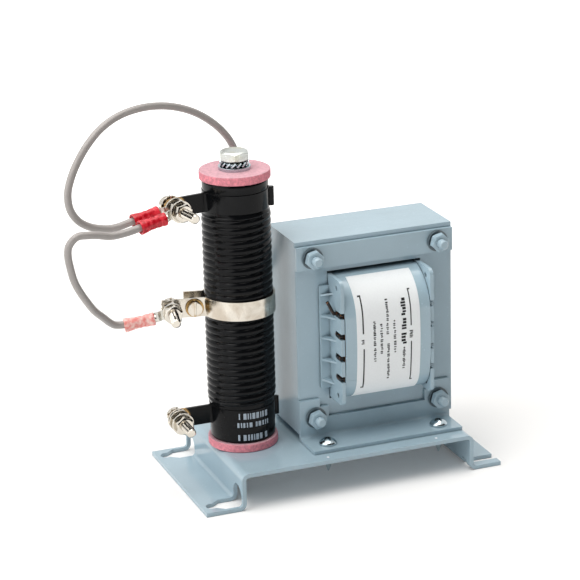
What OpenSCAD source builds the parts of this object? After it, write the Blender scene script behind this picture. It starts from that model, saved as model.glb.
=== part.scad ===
// Small transformer and tapped tubular resistor on one folded base plate.
// Millimetres, +Z up, +X towards the transformer, front at -Y.
// The origin is on the floor, in the middle of the four fixing screws.

/* [Base plate] */
// Depth of the plate, front to back
base_depth = 72; // [70:1:80]
// Height of the deck's top face above the floor
deck_h = 16; // [15:0.5:24]
// Thickness of the folded sheet
sheet_t = 1.8; // [1.2:0.1:2.2]
// Inside radius of the sheet's folds
fold_r = 1.4; // [0.8:0.1:1.8]
// Length of the foot that has the keyholes
keyhole_foot = 15.6; // [14.5:0.1:18]
// Length of the foot that has the open slots
slot_foot = 12.6; // [10:0.1:15]
// Distance of the fixing screws from the plate's front and rear edges
fix_edge = 6.5; // [6.2:0.1:9]
// Width of the slots that grip the fixing screws
fix_slot_w = 4.8; // [4.2:0.1:5.6]
// Width of a keyhole's wide end
keyhole_w = 10; // [8:0.2:10.4]
// Distance of a keyhole's narrow end from the foot's edge
keyhole_edge = 2; // [1.5:0.1:3]
// Length of a keyhole's wide end on the foot
keyhole_mouth = 6.8; // [5:0.1:7.2]
// Length of the slopes between a keyhole's narrow and wide ends
keyhole_slope = 3.2; // [2:0.1:3.4]
// Height of a keyhole's mouth up the leg
keyhole_h = 9.6; // [7:0.2:10]
// Height of an open slot's end up the leg
slot_end_h = 3.6; // [3:0.1:5]

/* [Core] */
// Lamination unit, a sixth of the core's height and a fifth of its width
lam_u = 14; // [13.6:0.1:14.6]
// Thickness of the lamination stack
stack_d = 30.4; // [26:0.2:34]
// Gap between the core and the deck
core_lift = 3; // [2.2:0.1:6]
// Reach of the core past the deck's right leg
core_overhang = 0.7; // [0:0.1:2]
// Diameter of the core's through bolts
bolt_d = 4; // [3.5:0.1:4.4]
// Clearance of a bolt in its hole, over the diameter
hole_gap = 0.5; // [0.2:0.1:0.8]
// Width of a bolt's head and nut across the flats
bolt_af = 7; // [6.4:0.1:7.6]
// Height of a bolt's head
bolt_head_h = 2.8; // [2.2:0.1:3.4]
// Height of a bolt's nut
nut_h = 3.2; // [2.6:0.1:4]
// Length of bolt that shows beyond its nut
bolt_tip = 0.9; // [0.4:0.1:3]
// Diameter of the curved spring washers
spring_d = 9; // [8.4:0.1:9.6]
// Thickness of the curved spring washers
spring_t = 0.5; // [0.3:0.1:0.7]
// Radius to which the spring washers are bent
spring_bend = 14; // [12:0.5:20]

/* [Clamps] */
// Height of the upper clamp strips
strip_h = 10; // [9.4:0.2:11.6]
// Thickness of the clamp strips
strip_t = 1.6; // [1:0.1:2]
// Thickness of the foot brackets
bracket_t = 1.6; // [1:0.1:2]
// Reach of a bracket's foot from the core's face
bracket_reach = 17.3; // [15:0.1:17.8]
// Height of a bracket's ears above the core's underside
ear_h = 15; // [13.4:0.1:16]
// Width of a bracket's ears
ear_w = 9; // [7:0.1:10]
// Height of the step beside an ear
shoulder_h = 11.4; // [11:0.1:12.4]
// Distance of the step's inner edge from the core's side
shoulder_w = 13; // [12.4:0.1:14]
// Height of the saddle under the coil
saddle_h = 6.6; // [4:0.1:9]
// Amount by which a bracket is shorter than the core is wide
bracket_short = 1.6; // [0:0.1:2.4]
// Amount by which a bracket's foot is shorter than the core is wide
foot_short = 2.8; // [0:0.1:4]
// Gap between the rear bracket's foot and the deck's rear edge
rear_margin = 0.1; // [0:0.1:1]
// Distance between the two screws of a bracket
screw_pitch = 50.4; // [44:0.2:54]
// Distance of the screws from the foot's free edge
screw_edge = 6; // [5:0.1:7]
// Diameter of the tapping screws
screw_d = 4.2; // [3.5:0.1:4.4]
// Length of a tapping screw under its head
screw_len = 12; // [8:0.5:13]
// Diameter of a tapping screw's head
screw_head_d = 7.4; // [7:0.1:8.6]
// Height of a tapping screw's head
screw_head_h = 2.8; // [2.4:0.1:3.4]

/* [Bobbin and coil] */
// Clearance between the bobbin and the core
bobbin_gap = 0.3; // [0.2:0.05:0.4]
// Gap between the flanges and the legs above and below them
window_gap = 0.9; // [0.4:0.1:1.4]
// Wall of the bobbin's tube
tube_wall = 1.2; // [0.8:0.1:1.6]
// Thickness of the bobbin's flanges
flange_t = 1.6; // [1.2:0.1:2]
// Reach of a flange past the core's face
flange_reach = 14; // [13:0.1:15]
// Corner radius of a flange
flange_r = 3; // [1:0.1:4]
// Width of the rails beside the flanges
rail_w = 4.2; // [3.4:0.1:4.6]
// Thickness of the rails
rail_t = 1.4; // [1:0.1:1.8]
// Thickness of the ribs between the terminal pockets
rib_t = 0.8; // [0.6:0.1:1.4]
// Spacing of the middle ribs
rib_pitch = 9.6; // [9:0.1:10]
// Distance of the outer ribs from the middle one
rib_outer = 18; // [17.5:0.1:19]
// Slope of the outer ribs, away from the middle
rib_slope = 20; // [0:1:24]
// Reach of the middle ribs past the core's face
rib_reach = 8.4; // [6:0.1:11]
// Reach of the outer ribs past the core's face
rib_outer_reach = 5.4; // [4:0.1:8]
// Width of the notches that let the winding ends out
notch_w = 2.6; // [2:0.1:3.4]
// Depth of those notches
notch_depth = 6.5; // [5.5:0.1:7.5]
// Diameter of the holes in a flange's corners
corner_hole = 2.2; // [1.6:0.1:2.6]
// Reach of the coil's bulge past the core's face
coil_reach = 14.9; // [13:0.1:16]
// Bulge radius of the coil's front and rear
coil_bulge_r = 120; // [90:5:200]
// Radius of the coil's upper corners
coil_top_r = 18; // [14:0.5:20]
// Radius of the coil's lower corners
coil_foot_r = 12; // [10:0.5:18]
// Build of the primary winding
primary_build = 4.6; // [3:0.1:5.5]
// Thickness of the coil's outer wrap
wrap_t = 0.9; // [0.5:0.1:1.4]
// Clearance between the layers of the coil
layer_gap = 0.1; // [0.05:0.05:0.2]
// Diameter of a winding end
wire_d = 1.4; // [0.8:0.1:1.6]
// Width of the label
label_w = 28.4; // [20:0.2:34]
// Height of the label, measured straight up
label_h = 51; // [40:0.2:52]
// Thickness of the label
label_t = 0.2; // [0.1:0.05:0.3]

/* [Resistor] */
// Distance of the resistor's axis from the deck's left leg
res_inset = 13.6; // [12:0.1:14.2]
// Distance of the core's side from the resistor's axis
res_to_core = 20.9; // [18:0.1:30]
// Distance of the resistor's axis behind the middle of the deck
res_offset = -0.6; // [-3:0.1:3]
// Length of the ceramic tube
tube_len = 111.4; // [100:0.2:124]
// Outer diameter of the ceramic tube
tube_d = 23; // [21:0.2:24]
// Bore of the ceramic tube
tube_bore = 16; // [13:0.2:18]
// Diameter of the smooth enamelled ends
smooth_d = 27.2; // [26.4:0.1:27.6]
// Diameter over the round turns
turn_d = 28.6; // [28:0.1:29]
// Pitch of the turns
turn_pitch = 2.9; // [2.6:0.1:3.4]
// Diameter of the insulating washers
insul_d = 29.2; // [28:0.1:31]
// Thickness of the insulating washers
insul_t = 3.55; // [2.5:0.05:5]
// Height of the spigot that centres a washer in the tube
spigot_h = 2; // [1:0.1:3]
// Diameter of the long bolt
rod_d = 6; // [5:0.1:6.2]
// Width of the long bolt's head across the flats
rod_af = 11.2; // [10:0.1:12]
// Height of the long bolt's head
rod_head_h = 4; // [3.4:0.1:4.6]
// Height of the long bolt's nut
rod_nut_h = 5; // [4:0.1:5.4]
// Length of bolt that shows beyond its nut
rod_tip = 1.2; // [0.5:0.1:2]
// Diameter of the long bolt's flat washers
rod_washer_d = 13.4; // [12:0.1:16]
// Thickness of the long bolt's flat washers
rod_washer_t = 1.4; // [1:0.1:1.6]
// Diameter of the toothed washer
tooth_d = 11.9; // [11:0.1:13]
// Height of the toothed washer's twisted teeth
tooth_h = 2.2; // [1.4:0.1:2.6]

/* [Terminals] */
// Width of the terminal bands
band_w = 8; // [7:0.1:8.6]
// Thickness of the bands' strip
band_t = 0.8; // [0.5:0.1:1]
// Amount by which the terminal bands stand proud of the enamel
band_proud = 0.2; // [0.1:0.05:0.5]
// Bend radius where a band turns into its ears
band_bend = 1.2; // [0.8:0.1:1.8]
// Distance of a terminal screw from the resistor's axis
ear_hole = 28.5; // [27:0.1:31]
// Length of a band's fold on the side away from the ears
fold_len = 1.9; // [1.6:0.1:3]
// Direction of the upper band's fold, turned towards the front
upper_fold = 20; // [0:1:30]
// Direction of the lower band's fold, turned towards the front
lower_fold = 8; // [0:1:30]
// Middle of the upper band below the tube's top
upper_band = 8.3; // [6:0.1:11]
// Middle of the lower band above the tube's underside
lower_band = 10.8; // [8:0.1:13]
// Direction of the upper band's ears, turned towards the front
upper_turn = 9; // [0:1:12]
// Direction of the lower band's ears, turned towards the front
lower_turn = 0; // [0:1:12]
// Height of the tap band's middle above the deck
tap_height = 62; // [45:0.5:80]
// Direction of the tap band's lugs, turned towards the rear
tap_turn = 12; // [6:1:16]
// Half of the gap between the tap band's lugs
tap_gap = 4.2; // [3.6:0.1:4.6]
// Length of the tap band's long lug from the resistor's axis
tap_lug = 32.4; // [32:0.1:34]
// Length of the tap band's short lug from the resistor's axis
tap_stub = 22.4; // [22:0.1:23.5]
// Distance of the clamp screw from the resistor's axis
clamp_hole = 19; // [18.6:0.1:19.4]
// Diameter of the clamp screw
clamp_d = 3; // [2.5:0.1:3.2]
// Diameter of the clamp screw's head
clamp_head_d = 6; // [5.5:0.1:6.4]
// Width of the clamp screw's nut across the flats
clamp_af = 5.5; // [5:0.1:5.6]
// Diameter of the terminal screws
stud_d = 4; // [3.5:0.1:4]
// Length of the other terminals' screws under their heads
stud_len = 20; // [18:0.5:24]
// Length of the upper terminal's screw under its head
upper_stud_len = 23; // [21:0.5:26]
// Diameter of a terminal screw's head
stud_head_d = 7.4; // [7:0.1:8]
// Height of a terminal screw's head
stud_head_h = 2.6; // [2:0.1:2.6]
// Diameter of the terminals' flat washers
stud_washer_d = 9.2; // [8.4:0.1:9.6]
// Diameter of the tap's flat washers
tap_washer_d = 8.2; // [7.6:0.1:9]
// Thickness of the terminals' flat washers
stud_washer_t = 0.8; // [0.5:0.1:1]
// Height of the terminals' toothed washers
stud_tooth_h = 0.9; // [0.7:0.1:1.1]

/* [Leads] */
// Diameter of a lead
lead_d = 3.1; // [2.8:0.1:3.2]
// Diameter of a ring terminal's ring
ring_d = 8; // [7.4:0.1:8.4]
// Thickness of a ring terminal's metal
ring_t = 0.8; // [0.6:0.1:0.9]
// Width of a ring terminal's neck
neck_w = 4; // [3:0.1:4.2]
// Distance of a crimp sleeve from the terminal screw
sleeve_start = 7; // [6:0.1:8]
// Length of a crimp sleeve
sleeve_len = 13.4; // [12:0.1:14]
// Diameter of a crimp sleeve at the ring's end
sleeve_d = 4.4; // [4:0.1:4.8]
// Diameter of a crimp sleeve's flared mouth
sleeve_mouth_d = 5.2; // [4.8:0.1:5.6]
// Droop of the upper ring terminals below the level
upper_droop = 9; // [0:1:15]
// Droop of the tap's ring terminal below the level
tap_droop = 9; // [0:1:15]

/* [Hidden] */
$fn = 64;

// Amount by which a cutting shape runs past the face that it cuts
over = 1;
// Amount by which neighbouring pieces of one outline overlap
lap = 0.06;
// Share of a hexagon's width that is left flat on its end
hex_face = 0.9;
paint = "#8fa3ac";
nickel = "#cfc8b8";
zinc = "#d5d9dc";
enamel = "#1e1f21";
pink = "#df8896";
copper = "#a5633a";
tinned = "#c9c9c4";
lead_grey = "#8c8785";
paper = "#f2f0ea";
ceramic = "#d8cfc0";
sleeve_red = "#d3202f";
faded_red = "#e2606a";

// Places on the base plate
fold_out = fold_r + sheet_t;
core_w = 5 * lam_u;
core_h = 6 * lam_u;
deck_len = res_inset + res_to_core + core_w - core_overhang;
base_len = keyhole_foot + deck_len + slot_foot;
fix_pitch = base_depth - 2 * fix_edge;
left_end = -base_len / 2;
right_end = base_len / 2;
left_leg = left_end + keyhole_foot;
right_leg = right_end - slot_foot;
deck_under = deck_h - sheet_t;
// Places of the core
core_x = right_leg + core_overhang - core_w / 2;
core_y = base_depth / 2 - rear_margin - bracket_reach - stack_d / 2;
core_z = deck_h + core_lift;
core_face = stack_d / 2;
bolt_inset = lam_u / 2;
bolt_hole = bolt_d + hole_gap;
spring_rise = spring_bend - sqrt(spring_bend * spring_bend - spring_d * spring_d / 4);
spring_stack = spring_rise + spring_t;
bracket_bend = 1.2;
screw_hole = screw_d + hole_gap;
nut_turn = 15;
spring_turn = 20;
thread_gap = 0.1;
// Places of the bobbin and the coil, from the core's middle
window_half = 1.5 * lam_u;
leg_half = lam_u;
slot_half = 2 * lam_u;
end_gap = 0.2;
flange_out = window_half - end_gap;
flange_in = flange_out - flange_t;
coil_half = flange_in - end_gap;
tube_half_y = core_face + bobbin_gap + tube_wall;
tube_half_z = leg_half + bobbin_gap + tube_wall;
flange_half_y = core_face + flange_reach;
flange_half_z = slot_half - window_gap;
rail_past = 4.5;
rail_half = rib_outer + rail_past;
rib_places = [-rib_outer, -rib_pitch, 0, rib_pitch, rib_outer];
pocket_mids = [for (i = [0:3]) (rib_places[i] + rib_places[i + 1]) / 2];
notch_drop = 1.5;
coil_half_y = core_face + coil_reach;
coil_half_z = flange_half_z - 2 * end_gap;
tag_t = 0.6;
tag_w = 3.2;
tag_stand = 7;
tag_x = flange_out + rail_w / 3;
tag_foot = 2.4;
tag_hole = 1.4;
tag_hole_edge = 1.8;
wire_show = 0.3;
ends_each = 3;
wire_gap = 0.3;
end_pitch = wire_d + wire_gap;
loose_past = 1.1;
loose_way = [-1.6, 3.2, 4.6];
corner_in_y = 4.8;
corner_in_z = 3.6;
// Places of the resistor, from the deck's top face
res_x = left_leg + res_inset;
tube_top = insul_t + tube_len;
stack_top = tube_top + insul_t;
rod_gap = 0.6;
rod_hole = rod_d + rod_gap;
rod_turn = 14;
spigot_gap = 0.4;
rod_seat = stack_top + rod_washer_t + tooth_h;
rod_end = -sheet_t - rod_washer_t - rod_nut_h - rod_tip;
lower_z = insul_t + lower_band;
upper_z = tube_top - upper_band;
turn_lap = 1.35;
turn_r = turn_pitch / 2 + turn_lap;
turn_margin = 1;
turns_from = lower_z + band_w / 2 + turn_margin;
turns_to = upper_z - band_w / 2 - turn_margin;
turn_count = floor((turns_to - turns_from) / turn_pitch);
slip = 0.05;
band_r = smooth_d / 2 + band_proud - band_t;
band_fold_r = 1.1;
// Distances along a terminal screw from its band's middle plane, positive towards the tip
stud_gap = 0.3;
stud_hole = stud_d + stud_gap;
clamp_bore = clamp_d + stud_gap;
ear_face = band_t;
lug_face = tap_gap + band_t;
long_ring_at = ear_face;
upper_washer_a = long_ring_at + ring_t;
upper_nut_a = upper_washer_a + stud_washer_t;
short_ring_at = upper_nut_a + nut_h;
upper_washer_b = short_ring_at + ring_t;
upper_nut_b = upper_washer_b + stud_washer_t;
lower_tooth_a = ear_face + stud_washer_t;
lower_washer_b = lower_tooth_a + stud_tooth_h;
lower_nut_a = lower_washer_b + stud_washer_t;
lower_washer_c = lower_nut_a + nut_h;
lower_nut_b = lower_washer_c + stud_washer_t;
tap_nut_a = lug_face + stud_washer_t;
tap_ring_at = tap_nut_a + nut_h;
tap_washer_b = tap_ring_at + ring_t;
tap_nut_b = tap_washer_b + stud_washer_t;
ear_seat = -band_t - stud_tooth_h;
upper_rear_washer = ear_seat - stud_washer_t;
upper_seat = upper_rear_washer - stud_tooth_h;
lug_seat = tap_gap - stud_tooth_h;
clamp_head_h = 2;
clamp_washer_d = 7.6;
clamp_washer_t = 0.8;
clamp_nut_h = 2.4;
clamp_tip = 1;
clamp_slot_turn = 87;
// Turn of the nuts about each terminal screw, and the teeth of the washers
upper_nut_turn = 10;
lower_nut_turn = 35;
tap_nut_turn = 20;
stud_teeth = 12;
rod_teeth = 16;
// Offset of each crimp sleeve from its ring, along the terminal screw
long_offset = -1.8;
short_offset = 2.4;
tap_offset = 2.4;
barrel_d = 3.2;
barrel_len = 6;
sleeve_bore = barrel_d + thread_gap;
sleeve_lip = 0.6;
step_back = 1;

// Gap between a lead's end and the mouth of its sleeve
lead_gap = 0.4;

// Point in the part's frame of a point given in a terminal's frame
function terminal_point(turn, height, p) =
    let (out = ear_hole + p[0])
    [
        res_x - out * cos(turn) + p[2] * sin(turn),
        res_offset - out * sin(turn) - p[2] * cos(turn),
        deck_h + height - p[1]
    ];

// Middle of a crimp sleeve's mouth
function sleeve_mouth(turn, height, droop, along) =
    let (reach = sleeve_start + sleeve_len + lead_gap)
    terminal_point(turn, height, [reach * cos(droop), reach * sin(droop), along]);

// Route of the long lead, from its crimp sleeve over the resistor to the rear of the coil
long_route = [
    sleeve_mouth(upper_turn, upper_z, upper_droop, long_ring_at + long_offset),
    [-91, -8.4, 118.6], [-97, -9.1, 119.4], [-101.8, -9.5, 121.1], [-106, -9.8, 124.2],
    [-108.8, -9.6, 129], [-109.1, -8.7, 135], [-107, -7.1, 140.8], [-103.4, -5.2, 146.6],
    [-98.4, -3.2, 152.5], [-91.7, -0.3, 157.6], [-83.4, 2.9, 160.9], [-73.9, 5.8, 162.2],
    [-64.5, 8.8, 161.5], [-55.6, 11.9, 159.1], [-47.3, 14.5, 155.3], [-40.5, 16, 150.6],
    [-35.3, 16.8, 145.6], [-31.7, 17.1, 140.4], [-29.1, 17.5, 133.7], [-27.3, 18, 126],
    [-26, 18.4, 118], [-25, 18.8, 110], [-23.8, 19.4, 102], [-22.2, 20.4, 94], [-19.8, 22, 86.5],
    [-16.8, 24, 79.5], [-13, 25.2, 73], [-9, 25.4, 67.6], [-4.1, 25, 66]
];
// Route of the short lead, between the upper terminal and the tap
short_route = [
    sleeve_mouth(upper_turn, upper_z, upper_droop, short_ring_at + short_offset),
    [-89, -17, 118.7], [-95.4, -17.8, 118.5], [-100.5, -18.6, 119.8], [-105, -19.2, 120.5],
    [-109, -19.5, 120.6], [-111.5, -19.6, 119], [-113, -19.3, 116.4], [-113.2, -18.9, 112.8],
    [-112.3, -17.9, 107.9], [-110.5, -16, 101.6], [-107.7, -13.6, 95.9], [-104.2, -10.6, 90.3],
    [-100.4, -7.4, 84.9], [-96, -4.6, 80.2], [-93.2, -2.9, 76.6], [-90.7, -1.55, 74.9],
    sleeve_mouth(-tap_turn, tap_height, tap_droop, tap_ring_at + tap_offset)
];
lead_sides = 8;

// Places children in the core's frame: middle of the stack, on the core's underside
module at_core() {
    translate([core_x, core_y, core_z])
        children();
}

// Places children at the middle of the coil
module at_coil() {
    at_core()
        translate([0, 0, core_h / 2])
            children();
}

// Places children on each through bolt's axis, in the core's frame
module at_bolts() {
    for (x = [-1, 1])
        for (z = [bolt_inset, core_h - bolt_inset])
            translate([x * (core_w / 2 - bolt_inset), 0, z])
                children();
}

// Places children on each tapping screw's axis, on the deck
module at_foot_screws() {
    translate([core_x, core_y, deck_h])
        for (turn = [0, 180])
            rotate([0, 0, turn])
                for (side = [-1, 1])
                    translate([
                        side * screw_pitch / 2 - foot_short / 2,
                        screw_edge - core_face - bracket_reach,
                        0
                    ])
                        children();
}

// Places children on the resistor's axis, on the deck
module at_resistor() {
    translate([res_x, res_offset, deck_h])
        children();
}

// Frames of the three terminals: X away from the resistor's axis, Z along the screw to its tip
module at_terminal(turn, height) {
    at_resistor()
        rotate([0, 0, turn])
            translate([-ear_hole, 0, height])
                rotate([90, 0, 0])
                    rotate([0, 0, 180])
                        children();
}

module at_upper() {
    at_terminal(upper_turn, upper_z)
        children();
}

module at_lower() {
    at_terminal(lower_turn, lower_z)
        children();
}

module at_tap() {
    at_terminal(-tap_turn, tap_height)
        children();
}

// Flat ring standing on the XY plane
module ring(outer_d, inner_d, height) {
    difference() {
        cylinder(d = outer_d, h = height);
        translate([0, 0, -over])
            cylinder(d = inner_d, h = height + 2 * over);
    }
}

// Rectangle about the origin with round corners
module round_rect(half_x, half_y, r) {
    square([2 * half_x - 2 * r, 2 * half_y], center = true);
    square([2 * half_x, 2 * half_y - 2 * r], center = true);
    for (x = [-1, 1])
        for (y = [-1, 1])
            translate([x * (half_x - r), y * (half_y - r)])
                circle(r);
}

// Quarter of a flat ring, from +X to +Y turned by the given angle
module fold_arc(inner_r, outer_r, turn) {
    rotate(turn)
        intersection() {
            difference() {
                circle(outer_r);
                circle(inner_r);
            }
            square(outer_r);
        }
}

// Hexagon prism with its end corners taken off by a cone
module hex_blank(af, height, both_ends) {
    corner_r = af / 2 / cos(30);
    face_r = af / 2 * hex_face;
    bevel = (corner_r - face_r) * tan(30);
    intersection() {
        cylinder(r = corner_r, h = height, $fn = 6);
        rotate_extrude()
            polygon([
                [0, 0],
                [both_ends ? face_r : corner_r, 0],
                [corner_r, both_ends ? bevel : 0],
                [corner_r, height - bevel],
                [face_r, height],
                [0, height]
            ]);
    }
}

module hex_nut(af, bore, height) {
    difference() {
        hex_blank(af, height, true);
        translate([0, 0, -over])
            cylinder(d = bore, h = height + 2 * over);
    }
}

// Ring with twisted teeth around its edge
module tooth_ring(inner_d, outer_d, height, count) {
    body_d = (inner_d + outer_d) / 2;
    tooth_t = height * 0.3;
    tooth_len = (outer_d - body_d) / 2 + tooth_t;
    tooth_w = (height - tooth_t * cos(45)) / sin(45);
    translate([0, 0, (height - tooth_t) / 2])
        ring(body_d, inner_d, tooth_t);
    for (i = [0:count - 1])
        rotate([0, 0, i * 360 / count])
            translate([outer_d / 2 - tooth_len / 2, 0, height / 2])
                rotate([45, 0, 0])
                    cube([tooth_len, tooth_w, tooth_t], center = true);
}

// Screw with a slotted cheese head: head below the XY plane, shank up to its tip
module slotted_screw(d, length, head_d, head_h) {
    slot_w = head_d * 0.14;
    slot_h = head_h * 0.4;
    tip_bevel = d * 0.12;
    difference() {
        translate([0, 0, -head_h])
            cylinder(d = head_d, h = head_h);
        translate([-head_d, -slot_w / 2, -head_h - over])
            cube([2 * head_d, slot_w, slot_h + over]);
    }
    rotate_extrude()
        polygon([
            [0, -head_h / 2],
            [d / 2, -head_h / 2],
            [d / 2, length - tip_bevel],
            [d / 2 - tip_bevel, length],
            [0, length]
        ]);
}

// Folded strip seen along the floor: feet, legs and deck with round folds
module hat_profile() {
    translate([left_end, 0])
        square([keyhole_foot - fold_r, sheet_t]);
    translate([left_leg - fold_r, fold_out])
        fold_arc(fold_r, fold_out, 270);
    translate([left_leg, fold_out])
        square([sheet_t, deck_h - 2 * fold_out]);
    translate([left_leg + fold_out, deck_h - fold_out])
        fold_arc(fold_r, fold_out, 90);
    translate([left_leg + fold_out, deck_under])
        square([right_leg - left_leg - 2 * fold_out, sheet_t]);
    translate([right_leg - fold_out, deck_h - fold_out])
        fold_arc(fold_r, fold_out, 0);
    translate([right_leg - sheet_t, fold_out])
        square([sheet_t, deck_h - 2 * fold_out]);
    translate([right_leg + fold_r, fold_out])
        fold_arc(fold_r, fold_out, 180);
    translate([right_leg + fold_r, 0])
        square([slot_foot - fold_r, sheet_t]);
}

// Cutter of one keyhole, about its own middle line
module keyhole_cut() {
    grip_mid = left_end + keyhole_edge + fix_slot_w / 2;
    wide_from = left_leg - keyhole_mouth;
    grip_to = wide_from - keyhole_slope;
    through = left_leg + sheet_t + over;
    mouth_r = keyhole_w / 2;
    translate([0, 0, -over])
        linear_extrude(sheet_t + fold_out + over) {
            translate([grip_mid, 0])
                circle(d = fix_slot_w);
            polygon([
                [grip_mid, -fix_slot_w / 2],
                [grip_to, -fix_slot_w / 2],
                [wide_from, -mouth_r],
                [wide_from + over, -mouth_r],
                [wide_from + over, mouth_r],
                [wide_from, mouth_r],
                [grip_to, fix_slot_w / 2],
                [grip_mid, fix_slot_w / 2]
            ]);
        }
    translate([wide_from, 0, 0])
        rotate([90, 0, 90])
            linear_extrude(through - wide_from) {
                translate([-mouth_r, -over])
                    square([keyhole_w, keyhole_h - mouth_r + over]);
                translate([0, keyhole_h - mouth_r])
                    circle(mouth_r);
            }
}

module base_plate() {
    color(paint)
        difference() {
            rotate([90, 0, 0])
                linear_extrude(base_depth, center = true)
                    hat_profile();
            for (side = [-1, 1])
                translate([0, side * fix_pitch / 2, 0]) {
                    keyhole_cut();
                    translate([right_leg - sheet_t - over, -fix_slot_w / 2, -over])
                        cube([slot_foot + sheet_t + 2 * over, fix_slot_w, slot_end_h + over]);
                }
            at_foot_screws()
                translate([0, 0, -sheet_t - over])
                    cylinder(d = screw_d + thread_gap, h = sheet_t + 2 * over);
            at_resistor()
                translate([0, 0, -sheet_t - over])
                    cylinder(d = rod_hole, h = sheet_t + 2 * over);
        }
}

// Extrudes an outline drawn in X and Z through the whole stack
module through_stack() {
    rotate([90, 0, 0])
        linear_extrude(stack_d, center = true)
            children();
}

module bolt_bores(length) {
    at_bolts()
        rotate([90, 0, 0])
            cylinder(d = bolt_hole, h = length, center = true);
}

module core_e_stack() {
    color(paint)
        at_core()
            difference() {
                through_stack()
                    difference() {
                        translate([-core_w / 2, 0])
                            square([core_w - lam_u, core_h]);
                        for (z = [lam_u, core_h - 2 * lam_u])
                            translate([-window_half, z])
                                square([2 * window_half + over, lam_u]);
                    }
                bolt_bores(stack_d + 2 * over);
            }
}

module core_i_stack() {
    color(paint)
        at_core()
            difference() {
                through_stack()
                    translate([window_half, 0])
                        square([lam_u, core_h]);
                bolt_bores(stack_d + 2 * over);
            }
}

// Outline of a rib drawn in X and Y: from the rail's edge up the flange to the given reach
module rib_outline(reach) {
    rail_face = core_face + bobbin_gap;
    polygon([
        [-flange_out + flange_t / 2, -rail_face],
        [-flange_out - rail_w, -rail_face],
        [-flange_out - rail_w, -rail_face - rail_t],
        [-flange_out, -core_face - reach],
        [-flange_out + flange_t / 2, -core_face - reach]
    ]);
}

// Terminal rail and ribs at one corner of the bobbin, in front of the core
module terminal_rail() {
    rail_face = core_face + bobbin_gap;
    translate([-flange_out - rail_w, -rail_face - rail_t, -rail_half])
        cube([rail_w + flange_t / 2, rail_t, 2 * rail_half]);
    for (z = [-rib_pitch, 0, rib_pitch])
        translate([0, 0, z - rib_t / 2])
            linear_extrude(rib_t)
                rib_outline(rib_reach);
    for (side = [-1, 1])
        intersection() {
            linear_extrude(2 * flange_half_z, center = true)
                rib_outline(rib_outer_reach);
            translate([-flange_out, -rail_face, side * rib_outer])
                rotate([-side * rib_slope, 0, 0])
                    cube([4 * rail_w, 4 * flange_reach, rib_t], center = true);
        }
}

// Outline of a flange with its wire notches and corner holes, drawn in Y and Z
module flange_outline() {
    difference() {
        round_rect(flange_half_y, flange_half_z, flange_r);
        for (side = [-1, 1])
            for (z = pocket_mids)
                translate([side * (flange_half_y - notch_depth + notch_w / 2), z - notch_drop]) {
                    circle(d = notch_w);
                    translate([side > 0 ? 0 : -notch_depth, -notch_w / 2])
                        square([notch_depth, notch_w]);
                }
        for (side = [-1, 1])
            for (up = [-1, 1])
                translate([side * (flange_half_y - corner_in_y), up * (flange_half_z - corner_in_z)])
                    circle(d = corner_hole, $fn = 24);
    }
}

module bobbin() {
    color(paint)
        at_coil()
            difference() {
                union() {
                    for (x = [-flange_out, flange_in])
                        translate([x, 0, 0])
                            rotate([90, 0, 90])
                                linear_extrude(flange_t)
                                    flange_outline();
                    cube([2 * flange_out, 2 * tube_half_y, 2 * tube_half_z], center = true);
                    for (x = [0, 1])
                        for (y = [0, 1])
                            mirror([x, 0, 0])
                                mirror([0, y, 0])
                                    terminal_rail();
                }
                cube([
                    2 * flange_out + 2 * over,
                    stack_d + 2 * bobbin_gap,
                    2 * leg_half + 2 * bobbin_gap
                ], center = true);
            }
}

// Middle of a corner's arc of the coil, at the given height and touching the bulge from inside
function corner_mid(r, rise) =
    [coil_bulge_r - coil_half_y - sqrt(pow(coil_bulge_r - r, 2) - rise * rise), rise];

// Outline of the coil drawn in Y and Z: bulged sides, round corners, flat top and underside
module coil_outline(inset) {
    bulge_mid = [coil_bulge_r - coil_half_y, 0];
    top = corner_mid(coil_top_r, coil_half_z - coil_top_r);
    foot = corner_mid(coil_foot_r, coil_foot_r - coil_half_z);
    top_way = (top - bulge_mid) / norm(top - bulge_mid);
    foot_way = (foot - bulge_mid) / norm(foot - bulge_mid);
    polygon([
        [top[0], coil_half_z - inset],
        top,
        foot,
        [foot[0], inset - coil_half_z],
        [-foot[0], inset - coil_half_z],
        [-foot[0], foot[1]],
        [-top[0], top[1]],
        [-top[0], coil_half_z - inset]
    ]);
    for (side = [0, 1])
        mirror([side, 0]) {
            translate(top)
                circle(coil_top_r - inset, $fn = 128);
            translate(foot)
                circle(coil_foot_r - inset, $fn = 128);
            intersection() {
                translate(bulge_mid)
                    circle(coil_bulge_r - inset, $fn = 256);
                polygon([
                    top - coil_foot_r / 2 * top_way,
                    top + 2 * coil_top_r * top_way,
                    foot + 2 * coil_foot_r * foot_way,
                    foot - coil_foot_r / 2 * foot_way
                ]);
            }
        }
}

// Extrudes an outline drawn in Y and Z along the coil
module along_coil(half) {
    at_coil()
        rotate([90, 0, 90])
            linear_extrude(2 * half, center = true)
                children();
}

module primary_winding() {
    color(copper)
        along_coil(coil_half)
            difference() {
                round_rect(tube_half_y + primary_build, tube_half_z + primary_build, primary_build);
                square(2 * [tube_half_y + layer_gap, tube_half_z + layer_gap], center = true);
            }
}

module secondary_winding() {
    inner = primary_build + layer_gap;
    color(copper)
        along_coil(coil_half)
            difference() {
                coil_outline(wrap_t + layer_gap);
                round_rect(tube_half_y + inner, tube_half_z + inner, inner);
            }
}

module winding_wrap() {
    color(paint)
        along_coil(coil_half)
            difference() {
                coil_outline(0);
                coil_outline(wrap_t);
            }
}

module label() {
    color(paper)
        along_coil(label_w / 2)
            intersection() {
                difference() {
                    coil_outline(-label_t);
                    coil_outline(0);
                }
                translate([-coil_half_y - over, -label_h / 2])
                    square([coil_half_y, label_h]);
            }
}

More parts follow.
